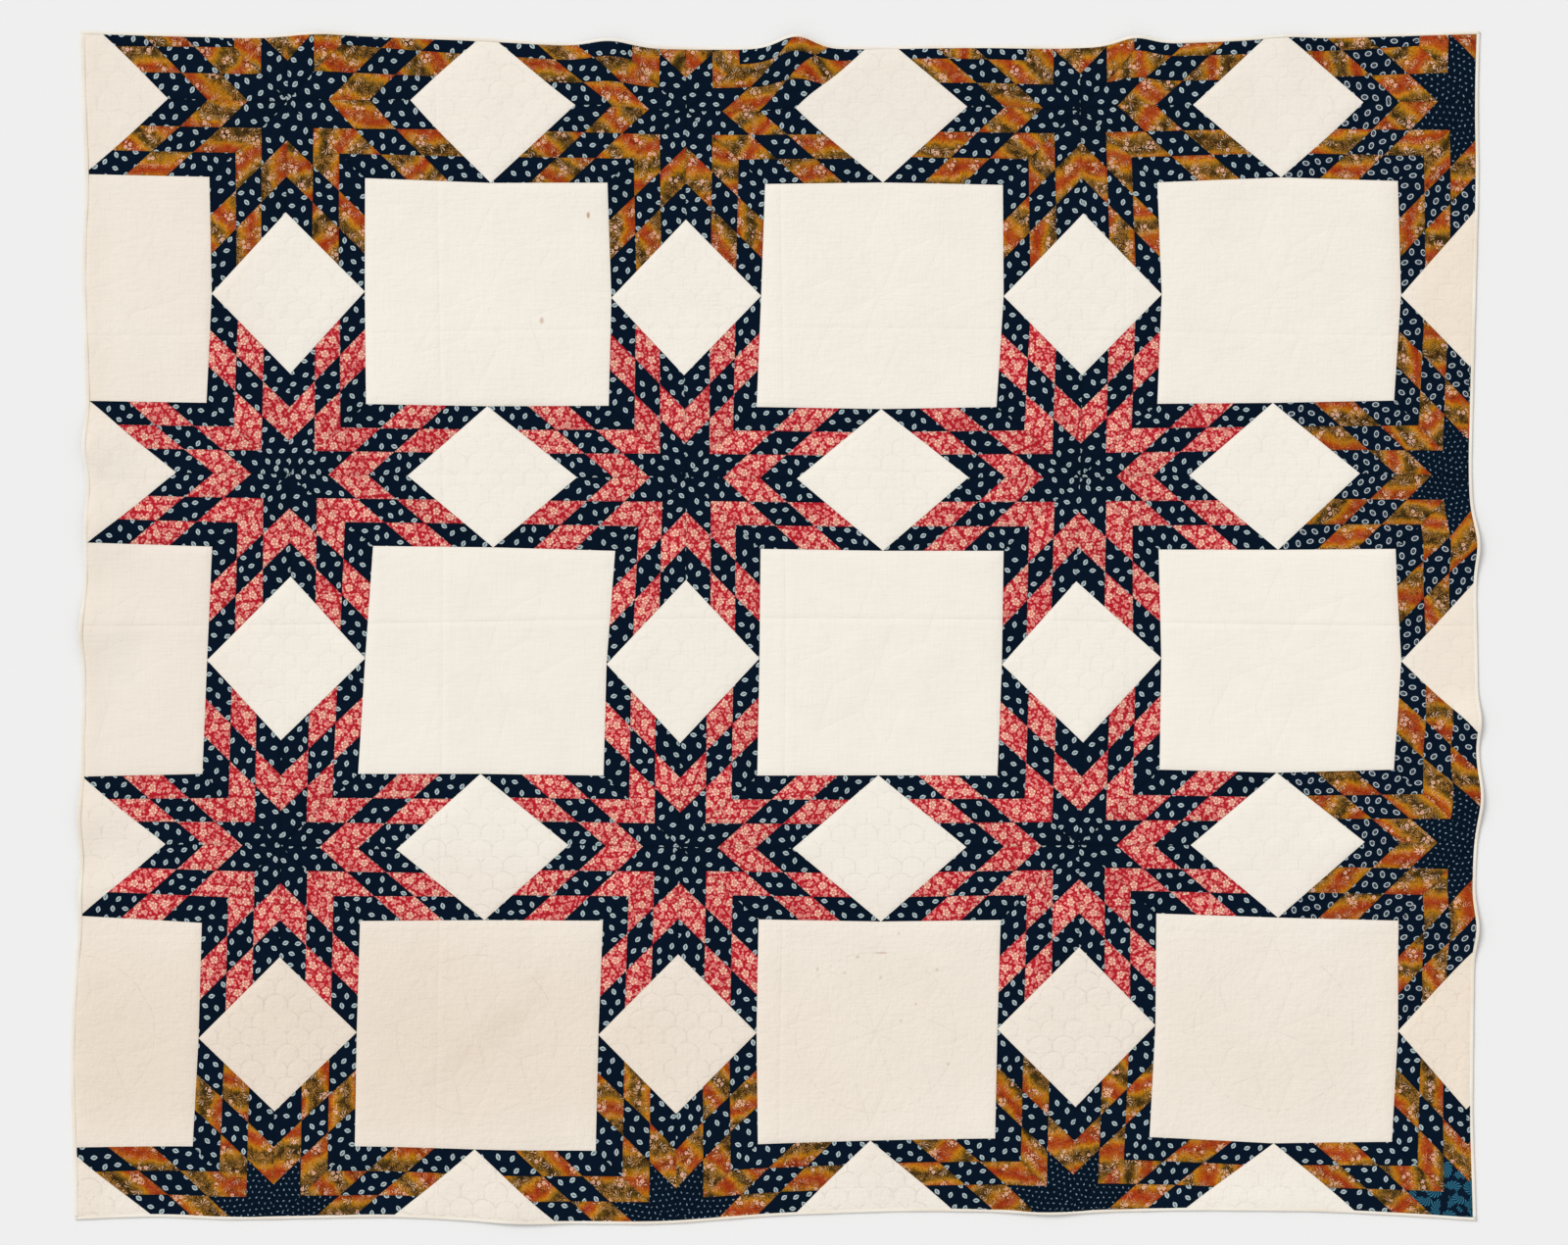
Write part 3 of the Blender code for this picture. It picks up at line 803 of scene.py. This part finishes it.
# The plain cream squares.
# Bleached muslin, yellowed with age towards the bottom row and the left and right edges. Its quilting lines
# are hollow and painted a little darker along them, partly for their soil and partly as painted shade in the
# hollows, and it has a few rusty spots, faint brown marks and one soft smudge.
CREAM = (0.829, 0.777, 0.698, 1)
YELLOWED = (0.758, 0.655, 0.548, 1)
TANNED = (0.795, 0.690, 0.572, 1)
# Brown painted along the quilting lines: partly their soil, partly painted shade in their hollows.
SOIL_AND_SHADE = (0.22, 0.15, 0.10, 1)
# Edges that have yellowed: axis, where it starts, where it is full, share.
AGED_EDGES = ((0, -0.70, -0.90, 0.33), (0, -0.96, -1.10, 0.72), (1, 0.60, 0.80, 0.22))
# Stains: x, y, half length, half width, share.
RUST = (0.42, 0.20, 0.08, 1)
STAINS = ((-0.292, 0.638, 0.006, 0.003, 0.75), (-0.364, 0.475, 0.006, 0.004, 0.45),
          (0.161, -0.504, 0.002, 0.012, 0.35), (0.125, -0.510, 0.003, 0.004, 0.35),
          (0.063, -0.529, 0.004, 0.003, 0.30), (0.105, -0.535, 0.003, 0.003, 0.30),
          (0.161, -0.542, 0.003, 0.003, 0.30), (0.215, -0.583, 0.003, 0.003, 0.30),
          (0.248, -0.530, 0.003, 0.003, 0.30), (0.189, -0.474, 0.003, 0.003, 0.25),
          (0.192, -0.609, 0.003, 0.003, 0.25), (0.265, -0.676, 0.003, 0.004, 0.25))
# One long soft smudge.
SMUDGE_BROWN = (0.48, 0.36, 0.25, 1)
SMUDGE_PLACE = (-0.434, -0.621)
SMUDGE_REACH = (0.125, 0.032)
SMUDGE_SLOPE = math.radians(40)
SMUDGE_SHARE = 0.15


def wrapped(value, step):
    """A value brought to within half a step of 0."""
    return minus(value, times(calc("ROUND", over(value, step)), step))


# The same quilting lines as above, in millimetres: how far a plain piece's surface is from the nearest one,
# how far it is from its ring, and whether it stands on point.
quilting, given, give = new_group("quilting_lines", (("Place", "Vector"),),
                                  (("Away", "Float"), ("Ring", "Float"), ("Point", "Float")))
parts = parts_of(given["Place"])
on_point = calc("GREATER_THAN", parts[0], (PLAIN_SHIFT["square"] + PLAIN_SHIFT["point"]) / 2 / MM)
further = times(on_point, (PLAIN_SHIFT["point"] - PLAIN_SHIFT["square"]) / MM)
x, y = (minus(minus(part, PLAIN_SHIFT["square"] / MM), further) for part in parts[:2])
r = length(x, y)
a = size_of(wrapped(calc("ARCTAN2", y, x), 2 * math.pi / STAR_POINTS))
lines = []
for (start_x, start_y), (end_x, end_y) in zip(STAR_LINE, STAR_LINE[1:]):
    run_x, run_y = (end_x - start_x) / MM, (end_y - start_y) / MM
    off_x = minus(times(r, calc("COSINE", a)), start_x / MM)
    off_y = minus(times(r, calc("SINE", a)), start_y / MM)
    share = over(plus(times(off_x, run_x), times(off_y, run_y)), run_x ** 2 + run_y ** 2)
    share = calc("MAXIMUM", calc("MINIMUM", share, 1.0), 0.0)
    lines.append(length(minus(off_x, times(share, run_x)), minus(off_y, times(share, run_y))))
nearest = calc("MINIMUM", *lines)
give("Ring", plus(away_from(r, RING_LINE / MM), times(on_point, FAR / MM)))
row_place = over(y, SCALLOP_STEP / MM)
row_number = calc("FLOOR", row_place)
up = times(minus(row_place, row_number), SCALLOP_STEP / MM)
half = times(calc("FLOORED_MODULO", row_number, 2.0), SCALLOP[0] / MM / 2)
sideways = wrapped(minus(x, half), SCALLOP[0] / MM)
arch = length(times(sideways, 2 * MM / SCALLOP[0]), times(up, MM / SCALLOP[1]))
arch = times(away_from(arch, 1.0), ARCH_REACH / MM)
foot = length(sideways, calc("MAXIMUM", minus(SCALLOP[1] / MM, up), 0.0))
difference = times(minus(calc("MINIMUM", arch, foot), nearest), on_point)
give("Away", plus(nearest, difference))
give("Point", on_point)

muslin, tree, shader = new_material("cream_muslin", 0.93, sheen=0.05)
where = put(tree, "ShaderNodeTexCoord").outputs["Object"]
parts = parts_of(where)
patchy = noise(where, 5.0, 5.0, 0.6)
low = times(step_up(parts[1], -0.24, -0.62), minus(1.0, times(step_up(parts[1], -0.70, -0.88), 0.65)))
leftward = step_up(parts[0], 0.45, -0.75)
aged = times(low, plus(0.45, times(leftward, 0.50)))
for axis, start, whole, share in AGED_EDGES:
    aged = calc("MAXIMUM", aged, times(step_up(parts[axis], start, whole), share))
aged = plus(aged, times(minus(patchy, 0.5), 0.45))
colour = blend(calc("MAXIMUM", aged, 0.0), CREAM, YELLOWED)
tanned = plus(0.65, times(step_up(parts[1], 0.25, 0.50), 0.20), times(step_up(parts[1], -0.25, -0.60), 0.55))
tanned = times(tanned, step_up(parts[0], 0.92, 1.02))
colour = blend(calc("MINIMUM", tanned, 1.0), colour, TANNED)
for x, y, half_length, half_width, share in STAINS:
    reach = length(over(minus(parts[0], x), half_width), over(minus(parts[1], y), half_length))
    colour = blend(times(step_up(reach, 1.15, 0.4), share), colour, RUST)
off_x, off_y = (minus(parts[axis], SMUDGE_PLACE[axis]) for axis in range(2))
cosine, sine = math.cos(SMUDGE_SLOPE), math.sin(SMUDGE_SLOPE)
along = over(plus(times(off_x, cosine), times(off_y, sine)), SMUDGE_REACH[0])
across = over(minus(times(off_y, cosine), times(off_x, sine)), SMUDGE_REACH[1])
ragged = noise(where, 34.0, 4.0, 0.65)
reach = plus(length(along, across), times(minus(ragged, 0.5), 2.4))
colour = blend(times(step_up(reach, 1.3, -0.2), SMUDGE_SHARE), colour, SMUDGE_BROWN)
sway = put(tree, "ShaderNodeTexNoise", Vector=where, Scale=26.0, Detail=1.0).outputs["Color"]
swayed = put(tree, "ShaderNodeVectorMath", {"operation": "MULTIPLY_ADD"})
feed(swayed.inputs[0], sway)
feed(swayed.inputs[1], (5.0, 5.0, 0.0))
feed(swayed.inputs[2], print_place(tree))
quilted = use_group(tree, quilting, Place=swayed.outputs[0])
stitched = step_up(quilted["Away"], 1.9, 0.2)
bottom_row = step_up(parts[1], -0.40, -0.46)
ring = times(step_up(quilted["Ring"], 1.7, 0.2), bottom_row)
creased = 0.0
for across, place, depth in FOLDS:
    sway = calc("SINE", calc("MULTIPLY_ADD", parts[1 - across], FOLD_SWAY[1], FOLD_SWAY[2]))
    sway = calc("MULTIPLY_ADD", sway, FOLD_SWAY[0], place)
    near = step_up(away_from(parts[across], sway), 0.0030, 0.0006)
    creased = plus(creased, times(near, depth / MM * 0.45))
rough = noise(where, 120.0, 2.0, 0.6)
roughened = calc("MULTIPLY_ADD", step_up(parts[1], 0.20, 0.30), 0.55, bottom_row)
creased = plus(creased, times(rough, roughened, 1.15))
# Painted shade and soil along the stitched lines, the ring and the scallops, made patchy by a noise.
soil_and_shade_noise = noise(where, 17.0, 2.0)
line_soil_and_shade = times(stitched, step_up(soil_and_shade_noise, 0.35, 0.75), plus(0.035, times(bottom_row, 0.05)))
ring_soil_and_shade = times(ring, step_up(rough, 0.42, 0.64), 0.13)
lower_left = times(step_up(parts[1], -0.18, -0.30), step_up(parts[0], 0.70, 0.55))
scallop_soil_and_shade = times(stitched, quilted["Point"], step_up(rough, 0.41, 0.61),
                     plus(0.055, times(lower_left, 0.08)))
colour = blend(plus(line_soil_and_shade, ring_soil_and_shade, scallop_soil_and_shade), colour, SOIL_AND_SHADE)
grooves = calc("MULTIPLY_ADD", calc("MAXIMUM", stitched, ring), 0.11, creased)
finish_cotton(shader, colour, wear=0.03, seam=0.04, groove=grooves)
top_pieces += sew_rows("cream_squares", "muslin", muslin)


# The navy cotton with scattered leaves.
# Indigo ground, nearly black, printed with small pale pointed leaves, each with its dark midrib.
NAVY = (0.0015, 0.0062, 0.0160, 1)
LEAF_PALE = (0.47, 0.55, 0.55, 1)
LEAF_GREY = (0.30, 0.385, 0.41, 1)

leaf_navy, tree, shader = new_material("navy_leaf_cotton")
spot = scattered(print_place(tree), step=22.3, row=16.4, nudge=0.30, seed=3.0)
along = over(spot["Along"], 5.3)
across = over(size_of(spot["Across"]), 3.5)
inside = plus(across, calc("POWER", size_of(along), 2.1))
leaf = step_up(inside, 1.05, 0.85)
rib = times(step_up(across, 0.24, 0.10), step_up(size_of(plus(along, 0.08)), 0.60, 0.42))
colour = blend(leaf, NAVY, blend(step_up(inside, 0.80, 0.40), LEAF_PALE, LEAF_GREY))
colour = blend(times(rib, 0.85), colour, NAVY)
finish_cotton(shader, colour)
top_pieces += sew_rows("navy_leaves", "leaf", leaf_navy)


# The navy cotton with open ovals.
# The same ground with small white rings, each round a pale dash, in the stars of the last column.
OVAL_PALE = (0.50, 0.57, 0.60, 1)

oval_navy, tree, shader = new_material("navy_oval_cotton")
spot = scattered(print_place(tree), step=18.5, row=16.0, nudge=0.16, seed=8.0)
along = over(spot["Along"], 5.6)
across = over(spot["Across"], 3.8)
away = length(along, across)
band = times(step_up(away, 1.04, 0.90), step_up(away, 0.54, 0.70))
dash = times(step_up(size_of(along), 0.34, 0.22), step_up(size_of(across), 0.18, 0.08))
colour = blend(calc("MAXIMUM", times(band, 0.80), times(dash, 0.30)), NAVY, OVAL_PALE)
finish_cotton(shader, colour)
top_pieces += sew_rows("navy_ovals", "oval", oval_navy)


# The navy cotton with pin dashes.
# The ground with small light blue dashes in close rows, in the hearts of the last column and row.
PIN_NAVY = (0.0012, 0.0060, 0.0150, 1)
PIN_BLUE = (0.30, 0.42, 0.52, 1)

pin_navy, tree, shader = new_material("navy_pin_cotton")
spot = scattered(print_place(tree), step=9.6, row=8.2, nudge=0.22, seed=15.0, turn=math.pi)
away = length(over(spot["Along"], 2.0), over(spot["Across"], 1.0))
share = times(step_up(away, 1.15, 0.45), plus(0.35, times(spot["Chance"], 0.5)))
colour = blend(share, PIN_NAVY, PIN_BLUE)
finish_cotton(shader, colour)
top_pieces += sew_rows("navy_dashes", "pin", pin_navy)


# The navy cotton with curled ferns.
# Teal strokes curl in clumps over a nearly black ground, in one star's heart at the bottom right.
FERN_NAVY = (0.0022, 0.0085, 0.0220, 1)
FERN_TEAL = (0.028, 0.150, 0.235, 1)


def fan(place, step, row, size, fingers, thin, seed):
    """Curled fans of strokes in a brick pattern: where the strokes are, and chance."""
    spot = scattered(place, step, row, 0.35, seed)
    root = plus(over(spot["Along"], size), 0.55)
    across = over(spot["Across"], size)
    reach = length(root, across)
    heading = calc("ARCTAN2", across, root)
    bend = plus(heading, times(reach, 0.90))
    finger = size_of(calc("SINE", times(bend, fingers)))
    stroke = times(step_up(finger, thin, thin + 0.35), step_up(reach, 1.20, 1.08))
    ends = times(step_up(reach, 0.20, 0.32), step_up(size_of(heading), 1.45, 1.30))
    return times(stroke, ends), spot["Chance"]


fern_navy, tree, shader = new_material("navy_fern_cotton")
stroke, chance = fan(print_place(tree), step=24.0, row=20.5, size=13.5, fingers=8.0, thin=0.50, seed=19.0)
colour = blend(stroke, FERN_NAVY, FERN_TEAL)
finish_cotton(shader, colour)
top_pieces += sew_rows("navy_ferns", "fern", fern_navy)


# The red cotton with blossoms.
# Crimson, crowded with pink sprigs and small five-petalled blossoms in pink and cream.
RED = (0.42, 0.012, 0.022, 1)
PINK = (0.80, 0.235, 0.215, 1)
BLUSH = (0.88, 0.42, 0.35, 1)
PEACH = (0.84, 0.53, 0.39, 1)
DARK_RED = (0.50, 0.04, 0.04, 1)


def blossom(place, step, row, size, seed):
    """Five-petalled blossoms scattered in a brick pattern: where they are, their dark marks, and chance."""
    spot = scattered(place, step, row, 0.30, seed)
    reach = length(spot["Along"], spot["Across"])
    lobes = calc("COSINE", times(calc("ARCTAN2", spot["Across"], spot["Along"]), 5.0))
    share = over(reach, times(plus(0.92, times(lobes, 0.08)), size))
    whole = step_up(share, 1.05, 0.85)
    gaps = times(step_up(lobes, -0.30, -0.90), step_up(share, 0.35, 0.60))
    eye = times(step_up(share, 0.52, 0.40), step_up(share, 0.12, 0.26))
    return whole, calc("MAXIMUM", gaps, eye), spot["Chance"]


def sprig(place, step, row, half_length, half_width, seed):
    """Small pointed leaves scattered in a brick pattern: where they are, and chance."""
    spot = scattered(place, step, row, 0.55, seed)
    along = over(spot["Along"], half_length)
    across = over(size_of(spot["Across"]), half_width)
    inside = plus(across, times(along, along))
    return step_up(inside, 1.08, 0.75), spot["Chance"]


floral, tree, shader = new_material("red_floral_cotton")
place = print_place(tree)
colour = RED
for step, row, half_length, half_width, seed in ((7.8, 6.2, 2.7, 1.7, 51.0), (9.0, 7.1, 2.4, 1.6, 57.0)):
    leaf, chance = sprig(place, step, row, half_length, half_width, seed)
    colour = blend(times(leaf, plus(0.25, times(chance, 0.55))), colour, blend(chance, PINK, BLUSH))
whole, marks, chance = blossom(place, step=15.0, row=13.0, size=3.8, seed=21.0)
colour = blend(whole, colour, blend(chance, PINK, BLUSH))
colour = blend(times(whole, marks, 0.8), colour, RED)
whole, marks, chance = blossom(place, step=22.0, row=19.0, size=6.2, seed=33.0)
shown = times(whole, step_up(chance, 0.10, 0.12))
colour = blend(shown, colour, PEACH)
colour = blend(times(shown, marks, 0.85), colour, DARK_RED)
finish_cotton(shader, colour)
top_pieces += sew_rows("red_floral", "floral", floral)


# The orange rainbow cotton.
# Shaded bands run from olive brown through gold and orange to red and back, overprinted with coral
# twigs in dark brown, with pale strokes, and with clumps of small pink flowers.
BAND_STEP = 56.0
BAND_COLOURS = ((0.00, (0.035, 0.022, 0.005, 1)), (0.14, (0.105, 0.060, 0.007, 1)),
                (0.24, (0.395, 0.170, 0.007, 1)), (0.30, (0.565, 0.215, 0.007, 1)),
                (0.38, (0.435, 0.080, 0.005, 1)), (0.52, (0.35, 0.027, 0.008, 1)),
                (0.66, (0.435, 0.079, 0.005, 1)), (0.78, (0.51, 0.200, 0.007, 1)),
                (0.90, (0.090, 0.049, 0.006, 1)))
TWIG = (0.026, 0.009, 0.004, 1)
STROKE = (0.63, 0.29, 0.07, 1)
FLECK = (0.88, 0.58, 0.39, 1)
FLOWER = (0.90, 0.60, 0.45, 1)
FLOWER_MARK = (0.33, 0.05, 0.03, 1)
# Three prints of curled strokes: step, row, size, fingers, colour, share, seed.
STROKE_PRINTS = ((13.0, 11.0, 8.5, 5.0, TWIG, 0.88, 83.0), (15.0, 12.5, 9.0, 5.5, STROKE, 0.66, 87.0),
                 (19.0, 16.0, 8.0, 4.0, FLECK, 0.75, 91.0))


def scribble(place, scale, lines, thin, thick):
    """Curly broken lines: the contours of a noise."""
    contours = times(noise(place, scale, 1.5, 0.6), lines)
    return step_up(away_from(calc("FRACT", contours), 0.5), thick, thin)


ombre, tree, shader = new_material("orange_rainbow_cotton")
place = print_place(tree)
parts = parts_of(place)
sway = noise(place, 0.022, 2.0, 0.5)
feather = stretched_noise(place, (0.45, 0.06, 1.0))
moved = plus(times(sway, 34.0), times(feather, 14.0))
band = calc("FRACT", over(plus(parts[1], moved), BAND_STEP))
ramp = put(tree, "ShaderNodeValToRGB")
while len(ramp.color_ramp.elements) < len(BAND_COLOURS) + 1:
    ramp.color_ramp.elements.new(0.5)
for element, (share, shade) in zip(ramp.color_ramp.elements, BAND_COLOURS + ((1.0, BAND_COLOURS[0][1]),)):
    element.position = share
    element.color = shade
feed(ramp.inputs[0], band)
colour = ramp.outputs[0]
grain = noise(place, 0.30, 3.0, 0.7)
broken = noise(place, 0.075, 1.0)
clump = scattered(place, step=37.0, row=31.0, nudge=0.30, seed=71.0)
clump_reach = plus(length(clump["Along"], clump["Across"]), times(grain, 9.0))
in_clump = step_up(clump_reach, 19.0, 14.0)
olive = step_up(away_from(band, 0.5), 0.28, 0.42)
busy = calc("MAXIMUM", in_clump, times(olive, 0.8))
colour = blend(times(step_up(grain, 0.48, 0.60), 0.40), colour, TWIG)
for step, row, size, fingers, shade, share, seed in STROKE_PRINTS:
    stroke, chance = fan(place, step, row, size, fingers, 0.68, seed)
    shown = times(plus(0.35, times(busy, 0.65)), share, step_up(chance, 0.20, 0.50))
    colour = blend(times(stroke, shown), colour, shade)
twigs = scribble(place, scale=0.16, lines=6.0, thin=0.13, thick=0.25)
colour = blend(times(twigs, plus(0.20, times(busy, 0.45))), colour, TWIG)
strokes = scribble(place, scale=0.21, lines=5.0, thin=0.08, thick=0.16)
colour = blend(times(strokes, step_up(broken, 0.46, 0.56), plus(0.15, times(busy, 0.45))), colour, STROKE)
whole, marks, chance = blossom(place, step=8.0, row=7.0, size=3.1, seed=41.0)
shown = times(whole, step_up(clump_reach, 13.0, 11.0), step_up(chance, 0.34, 0.39))
colour = blend(times(shown, 0.88), colour, FLOWER)
colour = blend(times(shown, marks, 0.9), colour, FLOWER_MARK)
finish_cotton(shader, colour, wear=0.20)
top_pieces += sew_rows("orange_rainbow", "ombre", ombre)


# The back, with the batting on it.
# One plain cream cloth under the whole quilt; the quilting dents it too, so that it touches the floor
# between the stitched lines. It stands for the whole quilted body.
BACK_CELLS = 5
BACK_THICKNESS = 0.0017
BACK_DENT = 0.0007

mesh = bpy.data.meshes.new("quilt_back")
work = flat_sheet(range(len(patches)), BACK_CELLS)
upper = bmesh.ops.extrude_face_region(work, geom=work.faces[:], use_keep_orig=True)["geom"]
upper_points = [part for part in upper if isinstance(part, bmesh.types.BMVert)]
bmesh.ops.translate(work, vec=(0, 0, 1), verts=upper_points)
bmesh.ops.recalc_face_normals(work, faces=work.faces)
work.to_mesh(mesh)
work.free()
points, owner = lay_print(mesh)
full, seam = relief(points[:, :2], owner)
height = np.where(points[:, 2] > 0.5, BACK_THICKNESS, BACK_DENT * (1 - full))
quilt_back = lay_down(mesh, points, height, np.full(len(points), FAR), muslin)
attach(quilt_back, "root")
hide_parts("quilt_body")


# The binding.
# Four straight-grain strips of the cream cotton, folded over the quilt's edge and hemmed down by hand,
# so that each shows as a narrow soft roll.
BINDING_LAP = 0.0007
BINDING_HEIGHT = 0.0036
BINDING_STEP = 0.004
BINDING_ROUND = 0.0013
# Waves along the strip, from its hemming stitches and its own slack: depth, length, start.
BINDING_WAVES = ((0.00022, 0.0085, 0.0), (0.0003, 0.071, 1.3))
BINDING_CREAM = (0.80, 0.76, 0.68, 1)
BINDING_YELLOWED = (0.76, 0.68, 0.57, 1)


def edges_along(work, along):
    """The edges of a bar that run along it."""
    return [edge for edge in work.edges
            if abs(edge.verts[0].co[along] - edge.verts[1].co[along]) > BINDING_STEP / 2]


def binding_strip(side):
    """One strip: a bar along the straight edge, rounded along its length, then laid as the cloth lies."""
    along, across, outward = SIDES[side]
    ends = [EDGES[name] for name in SIDES if SIDES[name][1] == along]
    first, last = min(ends), max(ends)
    width = BINDING_SHOWN[side] + BINDING_LAP
    if along == 1:
        first, last = first + BINDING_SHOWN["bottom"], last - BINDING_SHOWN["top"]
    size, middle = [0, 0, BINDING_HEIGHT], [0, 0, BINDING_HEIGHT / 2]
    size[along], size[across] = last - first, width
    middle[along], middle[across] = (first + last) / 2, EDGES[side] - outward * width / 2
    work = bmesh.new()
    bmesh.ops.create_cube(work, size=1)
    bmesh.ops.scale(work, vec=size, verts=work.verts)
    bmesh.ops.translate(work, vec=middle, verts=work.verts)
    cuts = round((last - first) / BINDING_STEP) - 1
    bmesh.ops.subdivide_edges(work, edges=edges_along(work, along), cuts=cuts)
    bmesh.ops.bevel(work, geom=edges_along(work, along), offset=BINDING_ROUND, offset_type="OFFSET",
                    segments=3, profile=0.5, affect="EDGES", material=-1)
    mesh = bpy.data.meshes.new("binding_strip_" + side)
    work.to_mesh(mesh)
    work.free()
    points, corner_vertex = read_corners(mesh)
    mesh.uv_layers.new(name="print").data.foreach_set("uv", points[corner_vertex, :2].ravel())
    wave = sum(depth * np.sin(2 * math.pi * points[:, along] / wave_length + start)
               for depth, wave_length, start in BINDING_WAVES)
    height = points[:, 2] * (1 + wave / BINDING_HEIGHT)
    made = lay_down(mesh, points, height, np.full(len(points), FAR), binding_cotton)
    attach(made, "root")
    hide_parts("binding_" + side)
    return made


binding_cotton, tree, shader = new_material("cream_binding", sheen=0.05)
where = put(tree, "ShaderNodeTexCoord").outputs["Object"]
patchy = noise(where, 9.0, 4.0)
colour = blend(step_up(patchy, 0.35, 0.7), BINDING_CREAM, BINDING_YELLOWED)
finish_cotton(shader, colour, wear=0.08)
strips = [binding_strip(side) for side in SIDES]
